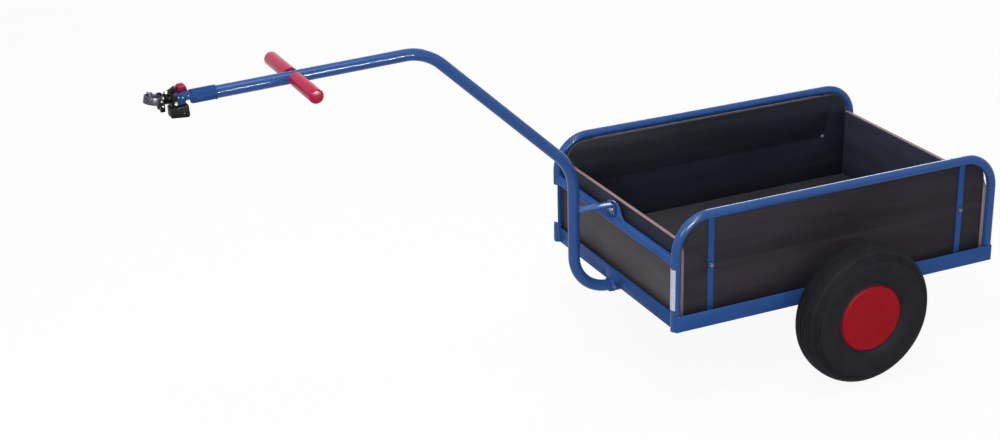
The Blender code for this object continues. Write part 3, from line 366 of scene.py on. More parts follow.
def make_finishes(c, board_t):
    FINISHES.update(
        blue=blue_paint("blue gloss paint", c.blue, 0.065, 0.16),
        blue_flat=blue_paint("blue paint on flats", shade(c.blue, 1.06), 0.3, 0.04),
        # A darker copy of the frame blue for the front rail: painted shade
        blue_shade=blue_paint("blue paint in front", shade(c.blue, 0.86), 0.32, 0.04),
        blue_dark=blue_paint("blue paint on the channel", shade(c.blue, 0.86), 0.4, 0.015),
        film=board_film("board film outside", c.film, 0.46),
        # Darker inner film: painted shade inside the box
        film_in=board_film("board film inside", c.film_in, 0.38),
        # The rear board's inside: a lighter copy of the inner film, painted light
        film_rear=board_film("board film of the rear", shade(c.film_in, 2.1), 0.4),
        film_floor=board_film("board film on the floor", c.film_floor, 0.42),
        # The front board's film: a lighter copy of the outer film as painted light, turning darker above the
        # crossbar as painted shade
        film_front=board_film("board film in front", (0.09, 0.083, 0.087), 0.46, (0.024, 0.027, 0.044)),
        # A darker red for the cover's outer ring: painted shade on its slope
        cover_edge=moulded("wheel cover edge", (0.1, 0.008, 0.022), 0.55, 500.0, 0.0003, 0.03, 0.02),
        cover=moulded("wheel cover red", c.cover_red, 0.4, 500.0, 0.0003, 0.05, 0.03),
        cap=moulded("lever grip red", (0.29, 0.002, 0.048), 0.32, 320.0, 0.0004, 0.07, 0.04),
        grip=moulded("handle grip red", c.grip_red, 0.24, 320.0, 0.0001, 0.17, 0.02),
        tyre=tyre_rubber("tyre rubber", c.tyre, 0.66),
        tube=tyre_rubber("inner tube rubber", (0.02, 0.02, 0.02), 0.56),
        strip=reflective_film("reflective strip", c.strip, 0.0),
        # A paler copy of the strip that emits light: painted light
        strip_far=reflective_film("reflective strip in the light", (0.8, 0.8, 0.84), 0.55),
        bolt=coated("painted bolt", (0.09, 0.125, 0.2), 0.16, 0.0, 0.45),
        pin=plated("dull zinc", (0.34, 0.34, 0.37), 0.34),
        # Real rivet heads, whose pale blue-grey stands in for their glints: painted highlight
        rivet=coated("painted rivet", (0.26, 0.34, 0.46), 0.28, 0.0, 0.2),
        zinc=plated("zinc plate", c.zinc, 0.3),
        steel=plated("plain steel", (0.36, 0.36, 0.38), 0.38),
        rim=rim_coat("rim paint", c.rim),
        bush=moulded("bush plastic", c.bush, 0.5, 500.0, 0.0003),
        black=coated("black coated steel", c.black, 0.34, 0.0, 0.06),
        plastic=moulded("black plastic", (0.0095, 0.009, 0.013), 0.42, 700.0, 0.0004, 0.05, 0.03),
        band=coated("dark coated aluminium", c.band, 0.34, 0.6),
    )
    # The side boards' edges take a darker copy of the ply colour, 0.45: painted shade
    for name, node, axis, light in (
        ("ends", "front_board", 0, 1.0),
        ("back", "rear_board", 0, 1.0),
        ("left", "side_board_left", 1, 0.45),
        ("right", "side_board_right", 1, 0.45),
        ("floor", "floor_board", 2, 1.0),
    ):
        FINISHES["ply_" + name] = ply_edge(name, shade(c.ply, light), axis, low(node)[axis], board_t)


# Modelling by hand

# Distances within which points become one: in new pieces, and in copies of CAD nodes
MERGE, CAD_MERGE = 0.000002, 0.000005
# Rounding of edges: of sheet and plate, and of small forged parts
SHEET_EDGE, FORGED_EDGE = 0.0006, 0.0005
RIPPLE = 0.0016  # from one ripple of a weld to the next


def leave_edit():
    bpy.ops.object.mode_set(mode="OBJECT")


def deselect():
    if bpy.context.object and bpy.context.object.mode != "OBJECT":
        leave_edit()
    bpy.ops.object.select_all(action="DESELECT")


def select(obj):
    deselect()
    obj.select_set(True)
    bpy.context.view_layer.objects.active = obj


def edit(obj):
    select(obj)
    bpy.ops.object.mode_set(mode="EDIT")
    bpy.ops.mesh.select_mode(type="VERT")
    bpy.ops.mesh.select_all(action="SELECT")


def pick(obj, test, kind="VERT"):
    """Edit mode with just those vertices, or faces, selected that pass the test."""
    edit(obj)
    bpy.ops.mesh.select_mode(type=kind)
    bpy.ops.mesh.select_all(action="DESELECT")
    mesh = bmesh.from_edit_mesh(obj.data)
    for item in mesh.verts if kind == "VERT" else mesh.faces:
        item.select_set(test(item))
    mesh.select_flush_mode()
    bmesh.update_edit_mesh(obj.data)


def fresh(name):
    """The object that the last operator made, under its name."""
    bpy.context.object.name = name
    return bpy.context.object


def pull(step):
    bpy.ops.mesh.extrude_region_move(TRANSFORM_OT_translate={"value": tuple(step)})


def spin(steps, angle, centre, axis):
    """Right-handed about the axis; Blender's own operator counts the other way."""
    bpy.ops.mesh.spin(steps=steps, angle=-angle, center=tuple(centre), axis=tuple(axis))


def merged(obj):
    edit(obj)
    bpy.ops.mesh.remove_doubles(threshold=MERGE)
    bpy.ops.mesh.normals_make_consistent(inside=False)
    leave_edit()
    return obj


def drawn(name, points):
    """A line that is drawn point by point from a single vertex, left open in edit mode."""
    deselect()
    bpy.ops.mesh.primitive_plane_add(size=0.001, location=(0, 0, 0))
    obj = fresh(name)
    edit(obj)
    bpy.ops.mesh.merge(type="CENTER")
    bpy.ops.transform.translate(value=tuple(points[0]))
    for here, there in zip(points, points[1:]):
        step = Vector(there) - Vector(here)
        bpy.ops.mesh.extrude_vertices_move(TRANSFORM_OT_translate={"value": tuple(step)})
    bpy.ops.mesh.select_all(action="SELECT")
    return obj


def square_to(axis):
    """A direction across an axis, and the third that completes them."""
    side = Vector((1, 0, 0)) if abs(axis.x) < 0.9 else Vector((0, 0, 1))
    side = (side - axis * side.dot(axis)).normalized()
    return side, axis.cross(side)


def turned(name, profile, centre, axis, steps, ring=False, degrees=360.0, start=0.0):
    """A profile of (radius, distance along the axis), spun round the axis. A ring's profile is closed."""
    axis = Vector(axis).normalized()
    side, third = square_to(axis)
    turn = radians(start)
    out = side * cos(turn) + third * sin(turn)
    centre = Vector(centre)
    points = [centre + out * r + axis * h for r, h in profile]
    obj = drawn(name, points + points[:1] if ring else points)
    bpy.ops.mesh.remove_doubles(threshold=MERGE)
    if degrees < 360:
        bpy.ops.mesh.edge_face_add()
    bpy.ops.mesh.select_all(action="SELECT")
    spin(steps, radians(degrees), centre, axis)
    return merged(obj)


def pulled(name, outline, step):
    """A flat outline, filled and pulled straight to its thickness."""
    obj = drawn(name, outline)
    bpy.ops.mesh.edge_face_add()
    pull(step)
    return merged(obj)


def tubed(name, corners, radii, radius, sides, steps=16, wall=0.0, depth=0.0):
    """A ring pulled along the straights and spun round the bends. With a wall its ends are hollow to a depth."""
    corners = [Vector(c) for c in corners]
    start = here = corners[0]
    way = (corners[1] - start).normalized()
    turn = way.to_track_quat("Z", "Y").to_euler()
    deselect()
    bpy.ops.mesh.primitive_circle_add(vertices=sides, radius=radius, fill_type="NGON", location=start, rotation=turn)
    obj = fresh(name)
    bpy.ops.object.transform_apply(location=True, rotation=True, scale=True)
    edit(obj)
    for corner, after, bend in zip(corners[1:], corners[2:], radii):
        on = (after - corner).normalized()
        angle = way.angle(on)
        reach = bend * tan(angle / 2)
        stop = corner - way * reach
        pull(stop - here)
        inward = (on - way * way.dot(on)).normalized()
        spin(max(3, round(steps * angle / (pi / 2))), angle, stop + inward * bend, way.cross(on))
        here = corner + on * reach
        way = on
    pull(corners[-1] - here)
    merged(obj)
    if wall:
        for end, out in ((start, (start - corners[1]).normalized()), (corners[-1], way)):
            pick(obj, lambda f: (f.calc_center_median() - end).length < radius and f.normal.dot(out) > 0.99, "FACE")
            bpy.ops.mesh.inset(thickness=wall)
            pull(out * -depth)
            leave_edit()
    return obj


def modified(obj, kind, **settings):
    """Adds a modifier with its settings and applies it."""
    select(obj)
    bpy.ops.object.modifier_add(type=kind)
    modifier = obj.modifiers[-1]
    for key, value in settings.items():
        setattr(modifier, key, value)
    bpy.ops.object.modifier_apply(modifier=modifier.name)
    return obj


def bevelled(obj, width, degrees=40, segments=2):
    limit = radians(degrees)
    return modified(obj, "BEVEL", width=width, segments=segments, limit_method="ANGLE", angle_limit=limit)


def booled(obj, tool, operation="DIFFERENCE"):
    """Cuts with a tool shape, or keeps what both share, and takes the tool away."""
    modified(obj, "BOOLEAN", operation=operation, solver="EXACT", object=tool)
    bpy.data.objects.remove(tool, do_unlink=True)
    return obj


def joined(name, *objs):
    deselect()
    for obj in objs:
        obj.select_set(True)
    bpy.context.view_layer.objects.active = objs[0]
    bpy.ops.object.join()
    return fresh(name)


def copied(obj, name, step=None):
    """A copy with its own mesh, moved by step, or else turned over the trailer's centre plane."""
    select(obj)
    bpy.ops.object.duplicate()
    twin = fresh(name)
    edit(twin)
    if step is None:
        bpy.ops.transform.resize(value=(1, -1, 1), center_override=(0, 0, 0))
        bpy.ops.mesh.flip_normals()
    else:
        bpy.ops.transform.translate(value=tuple(step))
    leave_edit()
    return twin


def refined(node, name, width=SHEET_EDGE):
    """A copy of a CAD node, merged, with its flats made whole and its edges rounded."""
    select(frame["nodes"][node])
    bpy.ops.object.duplicate()
    obj = fresh(name)
    for key in list(obj.keys()):
        del obj[key]
    obj.parent = None
    obj.data.materials.clear()
    edit(obj)
    bpy.ops.mesh.remove_doubles(threshold=CAD_MERGE)
    bpy.ops.mesh.dissolve_limited(angle_limit=radians(0.5))
    leave_edit()
    return bevelled(obj, width) if width else obj


def finished(obj, body, slot, *finishes, replaces=(), smooth=35):
    """Gives a piece its finish, shading and body, and hides the CAD nodes that it stands for."""
    select(obj)
    for key in finishes:
        obj.data.materials.append(FINISHES[key])
    bpy.ops.object.shade_smooth_by_angle(angle=radians(smooth))
    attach(obj, body)
    if replaces:
        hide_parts(*replaces)
    return obj


def painted(obj, node, finish="blue", smooth=35):
    """A blue piece of the frame that stands for a CAD node."""
    return finished(obj, "frame", "blue_paint", finish, replaces=[node], smooth=smooth)


def swapped(name):
    """The same name on the other side."""
    return name.replace("left", "*").replace("right", "left").replace("*", "right")


def paired(obj, body, slot, *finishes, node="", smooth=40, step=None):
    """Finishes a piece and its copy on the other side, and gives the copy."""
    twin = copied(obj, swapped(obj.name), step)
    for piece, named in ((obj, str), (twin, swapped)):
        finished(piece, named(body), slot, *finishes, replaces=[named(node)] if node else (), smooth=smooth)
    return twin


def dress(node, key):
    """A CAD node that stays gets its finish."""
    obj = frame["nodes"][node]
    if not obj.material_slots:
        obj.data.materials.append(None)
    for slot in obj.material_slots:
        slot.link = "OBJECT"
        slot.material = FINISHES[key]


def dome_head(name, place, way, radius, height, steps=24):
    """A shallow domed bolt head standing on place, facing way."""
    arc = [pi / 2 * i / 7 for i in range(7)]
    profile = [(0.0, -0.0006), (radius, -0.0006)] + [(radius * cos(a), height * sin(a)) for a in arc]
    return turned(name, profile + [(0.0, height)], place, way, steps)


def seam(name, points, radius, closed=False):
    """A rippled weld bead laid along a line."""
    points = [Vector(p) for p in points]
    line = points[:1]
    for a, b in zip(points, points[1:] + points[:1] if closed else points[1:]):
        count = max(1, round((b - a).length / RIPPLE))
        line += [a.lerp(b, i / count) for i in range(1, count + 1)]
    drawn(name, line)
    bpy.ops.mesh.remove_doubles(threshold=MERGE)
    leave_edit()
    bpy.ops.object.convert(target="CURVE")
    curve = bpy.context.object.data
    curve.bevel_depth = radius
    curve.bevel_resolution = 2
    curve.use_fill_caps = True
    for spline in curve.splines:
        for i, point in enumerate(spline.points):
            inner = 0 < i < len(spline.points) - 1 or closed
            point.radius = (1.0 if i % 2 else 0.84) if inner else 0.6
    bpy.ops.object.convert(target="MESH")
    return bpy.context.object


def hex_nut(name, place, way, across, height, thread):
    """A six-sided nut with chamfered corners, and the bolt's domed end standing out of it."""
    way = Vector(way).normalized()
    side, third = square_to(way)
    place = Vector(place)
    r = across / 2 / cos(pi / 6)
    outline = [place + (side * cos(a) + third * sin(a)) * r for a in [pi / 3 * i for i in range(6)]]
    nut = pulled(name, outline, way * height)
    shoulder, top = (r * 1.2, height - 0.1 * across), (across * 0.44, height)
    blank = [(0, -0.001), (r * 1.2, -0.001), shoulder, top, (0, height)]
    nut = booled(nut, turned(name + "_blank", blank, place, way, 48), "INTERSECT")
    end, start = height + thread * 0.3, height * 0.5
    stub = [(0, start), (thread / 2, start), (thread / 2, end - thread * 0.1), (thread * 0.4, end), (0, end)]
    return joined(name, nut, turned(name + "_end", stub, place, way, 24))


# The trailer, piece by piece


class Builder:
    """What every operator of the trailer shares."""

    bl_options = {"REGISTER", "UNDO"}

    def execute(self, context):
        self.build(context.scene.trailer_sizes)
        return {"FINISHED"}


class TRAILER_OT_finishes(Builder, bpy.types.Operator):
    """Mixes the finishes and gives the CAD nodes that stay theirs"""

    bl_idname = "trailer.finishes"
    bl_label = "Finishes"

    def build(self, sizes):
        make_finishes(bpy.context.scene.trailer_colours, sizes.board_t)
        keys = dict(blue_paint="blue", film_board="film", zinc_steel="zinc", steel_tube="steel", red_plastic="cover")
        keys.update(reflective_film="strip", tyre_rubber="tyre", tube_rubber="tube", rim_paint="rim")
        keys.update(bush_plastic="bush", black_steel="black", black_plastic="plastic", dark_band="band")
        for part in frame["record"]["subparts"]:
            dress(part["node"], keys[part["material_slot"]])


class TRAILER_OT_hoops(Builder, bpy.types.Operator):
    """Bent tube hoops at both sides of the load box"""

    bl_idname = "trailer.hoops"
    bl_label = "Side hoops"

    def build(self, sizes):
        a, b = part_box("side_hoop_left")
        r = sizes.post_d / 2
        front, rear, top, foot, y = a.x + r, b.x - r, b.z - r, a.z, (a.y + b.y) / 2
        path = [(front, y, foot), (front, y, top), (rear, y, top), (rear, y, foot)]
        hoop = tubed("hoop_left", path, [sizes.hoop_bend] * 2, r, 36, 20, wall=0.0015, depth=0.02)
        paired(hoop, "frame", "blue_paint", "blue", node="side_hoop_left")


class TRAILER_OT_rails(Builder, bpy.types.Operator):
    """Rolled angle rails at the foot of the box, and the square tubes under its floor"""

    bl_idname = "trailer.rails"
    bl_label = "Angle rails and floor tubes"

    def build(self, sizes):
        names = [("side_rail_" + side, "angle_" + side) for side, _ in SIDES]
        names += [(end + "_rail", "angle_" + end) for end in ENDS]
        names += [("floor_tube_" + place, "cross_tube_" + place) for place in PLACES]
        names += [("axle_saddle_" + side, "saddle_" + side) for side, _ in SIDES]
        for node, name in names:
            # The front rail takes the darker blue: painted shade
            painted(refined(node, name), node, "blue_shade" if node == "front_rail" else "blue_flat")


class TRAILER_OT_bars(Builder, bpy.types.Operator):
    """Round crossbars between the posts, and flat upright bars that hold the side boards"""

    bl_idname = "trailer.bars"
    bl_label = "Crossbars and upright bars"

    def build(self, sizes):
        sunk = 0.01  # how far a crossbar's ends reach into the posts
        for end in ENDS:
            node = end + "_crossbar"
            c, (a, b) = middle(node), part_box(node)
            path = [(c.x, a.y - sunk, c.z), (c.x, b.y + sunk, c.z)]
            painted(tubed("crossbar_" + end, path, [], (b.z - a.z) / 2, 32), node, "blue_flat", 40)
        for end in ENDS:
            for side, _ in SIDES:
                node = f"upright_bar_{end}_{side}"
                painted(refined(node, f"flat_bar_{end}_{side}"), node, "blue_flat")


class TRAILER_OT_boards(Builder, bpy.types.Operator):
    """Film-faced plywood boards with bare edges"""

    bl_idname = "trailer.boards"
    bl_label = "Boards"

    def fuller_corners(self, panel, a, b):
        """Brings the side boards' rounded upper corners close to the hoop's bends, as in the photo."""
        old, new = 0.065, 0.045
        reach, scale = old + 0.0003, new / old
        for x in (a.x, b.x):
            pick(panel, lambda v: abs(v.co.x - x) < reach and b.z - v.co.z < reach)
            bpy.ops.transform.resize(value=(scale, 1, scale), center_override=(x, (a.y + b.y) / 2, b.z))
            leave_edit()

    def build(self, sizes):
        boards = (
            ("front_board", "panel_front", 0, ("film_front", "ply_ends", "film_in")),
            ("rear_board", "panel_rear", 0, ("film", "ply_back", "film_rear")),
            ("side_board_left", "panel_left", 1, ("film", "ply_left", "film_in")),
            ("side_board_right", "panel_right", 1, ("film", "ply_right", "film_in")),
            ("floor_board", "panel_floor", 2, ("film", "ply_floor", "film_floor")),
        )
        outside, edge, inside = range(3)
        heart = spot(*HEART)
        for node, name, axis, finishes in boards:
            panel = refined(node, name, 0)
            if axis == 1:
                self.fuller_corners(panel, *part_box(node))
            bevelled(panel, sizes.board_edge, 60)
            finished(panel, "frame", "film_board", *finishes, replaces=[node], smooth=40)
            for face in panel.data.polygons:
                inward = face.normal[axis] * (heart - face.center)[axis] > 0
                flat = abs(face.normal[axis]) > 0.95
                face.material_index = (inside if inward else outside) if flat else edge


class TRAILER_OT_welds(Builder, bpy.types.Operator):
    """Weld seams round the tube ends and along the flat parts"""

    bl_idname = "trailer.welds"
    bl_label = "Weld seams"

    def ring(self, place, radius, axis, other=0.0, count=48):
        """Points round a tube along axis, at place. With other, they follow a crossing tube of that radius."""
        side, third = square_to(Vector(axis))
        points = []
        for i in range(count):
            t = radians(360.0 * i / count)
            a, b = radius * cos(t), radius * sin(t)
            rise = other - sqrt(max(0.0, other * other - a * a)) if other else 0.0
            points.append(Vector(place) + side * a + third * b + Vector(axis) * rise)
        return points

    def build(self, sizes):
        for i, (points, width, *closed) in enumerate(self.right(sizes)):
            bead = seam(f"seam_right_{i}", points, sizes.weld * width, *closed)
            paired(bead, "frame", "blue_paint", "blue", smooth=70)
        for i, (points, width, *closed) in enumerate(self.centre(sizes)):
            bead = seam(f"seam_middle_{i}", points, sizes.weld * width, *closed)
            finished(bead, "frame", "blue_paint", "blue", smooth=70)

    def right(self, sizes):
        """The seams of the right side: points, width in welds, and True for a closed one."""
        r = sizes.post_d / 2
        hoop = high("side_hoop_right")
        y, rear = hoop.y - FOOT.y - r, hoop.x - FOOT.x - r
        rail_top = high("side_rail_right").z - FOOT.z
        cross_z = middle("front_crossbar").z - FOOT.z
        edge, thick = high("front_rail").y - 0.0001, 0.62
        for x, way in ((0, -1), (rear, 1)):
            line = self.ring(spot(x, y - r, cross_z), r, (0, 1, 0), r)
            last = spot(rear + r, 0, 0).x - sizes.weld * thick
            yield [Vector((min(p.x, last), p.y, p.z)) for p in line], thick, True
            face = x + way * (sizes.rail_t / 2 + 0.0002)
            yield [spot(face, edge, 0.003), spot(face, edge, rail_top - 0.001)], 0.6
            yield [spot(x - 0.006, y + r, rail_top), spot(x + 0.006, y + r, rail_top)], 0.6
        for end in ENDS:
            a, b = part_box(f"upright_bar_{end}_right")
            for z in (a.z, b.z):
                yield [(a.x, b.y, z), (b.x, b.y, z)], 0.55
        inner = low("side_rail_right").y
        for place in PLACES:
            a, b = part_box("floor_tube_" + place)
            yield [(a.x, inner, a.z), (b.x, inner, a.z)], 0.6
        a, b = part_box("axle_saddle_right")
        for x in (a.x, b.x):
            yield [(x, a.y + 0.001, b.z - 0.001), (x, b.y - 0.001, b.z - 0.001)], 0.6
        a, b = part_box("drawbar_lug")
        for x in (a.x, b.x):
            yield [(x, 0.008, a.z + 0.0005), (x, b.y - 0.001, a.z + 0.0005)], 0.6
        a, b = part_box("drawbar_socket")
        plate = low("front_rail").x - 0.0003
        yield [(plate, 0.028, a.z + 0.03), (plate, 0.028, b.z - 0.006), (plate, 0.022, b.z)], 0.55
        handle, handle_r, loop = middle("handle_tube"), 0.01, []
        for i in range(40):
            t = pi * 2 * i / 40
            z = handle_r * cos(t)
            out = sqrt((sizes.drawbar_d / 2) ** 2 - z * z)
            loop.append(Vector((handle.x + handle_r * sin(t), out, handle.z + z)))
        yield loop, 0.5, True

    def centre(self, sizes):
        """The seams on the centre line, in the same form."""
        r = sizes.drawbar_d / 2
        tip, bend, fall = (spot(*p) for p in DRAWBAR[:3])
        yield self.ring((low("front_rail").x - 0.0034, 0, spot(*DRAWBAR[-1]).z), 0.017, (1, 0, 0)), 0.6, True
        strut = high("drawbar_strut").z
        half_turn = [pi * (i / 16 - 0.5) for i in range(17)]
        around = [Vector((fall.x + r * cos(t), r * sin(t), strut)) for t in half_turn]
        yield around, 0.6
        yield [p - Vector((0, 0, 0.004)) for p in around], 0.6
        axis = (bend - tip).normalized()
        gripped = 0.0525  # how far the channel reaches over the tube
        channel_end = tip + axis * (gripped / axis.x)
        side = Vector((0, 1, 0))
        third = axis.cross(side)
        upper = [pi * (1.16 * i / 30 - 1.08) for i in range(31)]
        yield [channel_end + (side * cos(t) + third * sin(t)) * (r + 0.0006) for t in upper], 0.6


class TRAILER_OT_fasteners(Builder, bpy.types.Operator):
    """Carriage bolts of the side boards, and the bolts of the drawbar"""

    bl_idname = "trailer.fasteners"
    bl_label = "Bolts and nuts"

    NUT_H = 0.005
    NUT_BACK = 0.0065  # from the bolt's end to the nut's foot

    def dome_bolt(self, name, node, axis, sizes, finish):
        """Dome head at one end, nut at the other, over the CAD bolt."""
        head_h = 0.0033
        k = [abs(v) for v in axis].index(1)
        first, last = (corner[k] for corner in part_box(node)[:: axis[k]])
        head_at, nut_at = middle(node), middle(node)
        head_at[k] = first + axis[k] * head_h
        nut_at[k] = last - axis[k] * self.NUT_BACK
        head = dome_head(name, head_at, -Vector(axis), 0.006, head_h)
        nut = hex_nut(name + "_nut", nut_at, axis, 0.01, self.NUT_H, sizes.bolt_d)
        finished(joined(name, head, nut), "frame", "zinc_steel", finish, replaces=[node])

    def through_bolt(self, name, node, sizes):
        """Hexagon head at the left and nut at the right, over the CAD bolt."""
        c, (a, b) = middle(node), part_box(node)
        across = (b.z - a.z) * cos(pi / 6)
        head = hex_nut(node + "_head", (c.x, a.y + 0.004, c.z), (0, -1, 0), across, 0.004, 0.003)
        nut = hex_nut(node + "_nut", (c.x, b.y - self.NUT_BACK, c.z), (0, 1, 0), across, self.NUT_H, sizes.bolt_d)
        finished(joined(name, head, nut), "frame", "zinc_steel", "bolt", replaces=[node])

    def build(self, sizes):
        for end in ENDS:
            for side, s in SIDES:
                self.dome_bolt(f"carriage_bolt_{end}_{side}", f"board_bolt_{end}_{side}", (0, s, 0), sizes, "bolt")
        self.dome_bolt("drawbar_bolt", "strut_bolt", (1, 0, 0), sizes, "pin")
        self.through_bolt("socket_through_bolt", "socket_bolt", sizes)


class TRAILER_OT_drawbar(Builder, bpy.types.Operator):
    """The bent drawbar tube with its socket, strut and lug"""

    bl_idname = "trailer.drawbar"
    bl_label = "Drawbar"

    def build(self, sizes):
        path, bends = [spot(*p) for p in DRAWBAR], [0.115, 0.12, 0.09]
        tube = tubed("drawbar", path, bends, sizes.drawbar_d / 2, 40, 24, sizes.tube_wall, 0.03)
        painted(tube, "drawbar_tube", smooth=40)
        for name, finish in (("strut", "blue"), ("lug", "blue"), ("socket", "blue_flat")):
            painted(refined("drawbar_" + name, name, FORGED_EDGE), "drawbar_" + name, finish)


class TRAILER_OT_handle(Builder, bpy.types.Operator):
    """Red grips on the cross handle"""

    bl_idname = "trailer.handle"
    bl_label = "Handle grips"

    def build(self, sizes):
        a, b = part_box("grip_left")
        c, g = middle("grip_left"), sizes.grip_d / 2
        length, round_r = b.y - a.y + 0.0035, 0.005
        shoulder = length - 0.006
        bore = middle("handle_tube").z - low("handle_tube").z + 0.0006
        profile = [(bore, 0.02), (bore, 0.0), (g * 0.94, 0.0), (g, 0.001), (g, shoulder)]
        for t in [radians(15 * i) for i in range(1, 7)]:
            profile.append((g - round_r * (1 - cos(t)), shoulder + round_r * sin(t)))
        profile += [(g * 0.5, length - 0.0003), (g * 0.25, length), (0.0, length)]
        grip = turned("handle_grip_left", profile, (c.x, b.y, c.z), (0, -1, 0), 64)
        paired(grip, "frame", "red_plastic", "grip", node="grip_left")


class TRAILER_OT_strips(Builder, bpy.types.Operator):
    """Reflective strips round the front posts"""

    bl_idname = "trailer.strips"
    bl_label = "Reflective strips"

    def build(self, sizes):
        a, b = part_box("reflective_strip_left")
        x = low("side_hoop_left").x + sizes.post_d / 2
        inner, outer, edge = sizes.post_d / 2 + 0.0001, x - a.x, 0.0002
        profile = [(inner, a.z), (outer - edge, a.z), (outer, a.z + edge)]
        profile += [(outer, b.z - edge), (outer - edge, b.z), (inner, b.z)]
        span = 112.0
        place = (x, middle("side_hoop_left").y, 0)
        strip = turned("strip_left", profile, place, (0, 0, 1), 28, True, span, 180 - span / 2)
        twin = paired(strip, "frame", "reflective_film", "strip", node="reflective_strip_left", smooth=30)
        # The far strip takes the emitting copy: painted light
        twin.data.materials[0] = FINISHES["strip_far"]


class TRAILER_OT_tyres(Builder, bpy.types.Operator):
    """Pneumatic tyres with grooves round the tread"""

    bl_idname = "trailer.tyres"
    bl_label = "Tyres"

    def build(self, sizes):
        a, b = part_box("tyre_left")
        c, half = middle("tyre_left"), (b.y - a.y) / 2
        outer_r = b.z - c.z
        widest, seat, power = outer_r - 0.04, 0.0748, 2.6
        rise = outer_r - widest
        drop = (widest - seat) / sin(radians(60)) ** (2 / power)

        def side(degrees):
            a, b = cos(radians(degrees)), sin(radians(degrees))
            height = copysign(abs(b) ** (2 / power), b) * (rise if b > 0 else drop)
            return widest + height, a ** (2 / power) * half

        def crown(y):
            return widest + rise * (1 - y**power) ** (1 / power)

        rows = [side(t) for t in range(-60, 18, 6)]
        for i in (2, 3):  # a low rib over the bead
            rows[i] = (rows[i][0], rows[i][1] + 0.001)
        for t in (17, 24, 31, 38):  # rings round the shoulder
            rows += [side(t - 2.0), (side(t)[0] - 0.0006, side(t)[1] - 0.0014), side(t + 1.6)]
        deep = sizes.groove * 0.7
        for centre, width in ((0.6, 0.045), (0.46, 0.05), (0.25, 0.05), (0.035, 0.06)):
            for part, sunk in ((0.5, 0), (0.25, deep), (-0.25, deep), (-0.5, 0)):
                y = centre + width * part
                rows.append((crown(y) - sunk, y * half))
        inner = [(seat, -rows[0][1] + 0.006), (widest, -half + 0.008), (crown(0.5) - 0.01, -half * 0.5)]
        inner += [(crown(0) - 0.011, 0)] + [(r, -y) for r, y in reversed(inner)]
        outline = rows + [(r, -y) for r, y in reversed(rows)] + inner
        tyre = turned("tyre_tread_left", outline, c, (0, 1, 0), 144, ring=True)
        step = middle("tyre_right") - c
        paired(tyre, "wheel_left", "tyre_rubber", "tyre", node="tyre_left", smooth=50, step=step)


class TRAILER_OT_covers(Builder, bpy.types.Operator):
    """Red wheel covers"""

    bl_idname = "trailer.covers"
    bl_label = "Wheel covers"

    def build(self, sizes):
        a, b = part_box("wheel_cover_left")
        c = middle("wheel_cover_left")
        r, face = b.z - c.z, b.y - a.y
        flange, flat, seat = r - 0.004, r - 0.0047, face - 0.0046
        profile = [(0.0, face), (flat * 0.6, face), (flat * 0.9, face - 0.0002), (flat * 0.955, face - 0.0006)]
        profile += [(flat * 0.985, face - 0.0011), (flat, face - 0.0017), (flat + 0.001, face - 0.0028)]
        profile += [(r - 0.001, seat + 0.001), (r - 0.0002, seat + 0.0004), (r, seat), (flange, seat), (flange, 0.0)]
        profile += [(flange - 0.0025, 0.0), (flange - 0.0025, face - 0.0028), (flange - 0.0045, face - 0.002)]
        cover = turned("cover_left", profile + [(0.0, face - 0.002)], (c.x, b.y, c.z), (0, -1, 0), 128)
        # Faces of the outer ring take the darker red: painted shade
        for polygon in cover.data.polygons:
            out = Vector((polygon.center.x - c.x, 0, polygon.center.z - c.z)).length
            polygon.material_index = int(out > flat - 0.0002)
        paired(cover, "wheel_left", "red_plastic", "cover", "cover_edge", node="wheel_cover_left", smooth=30)


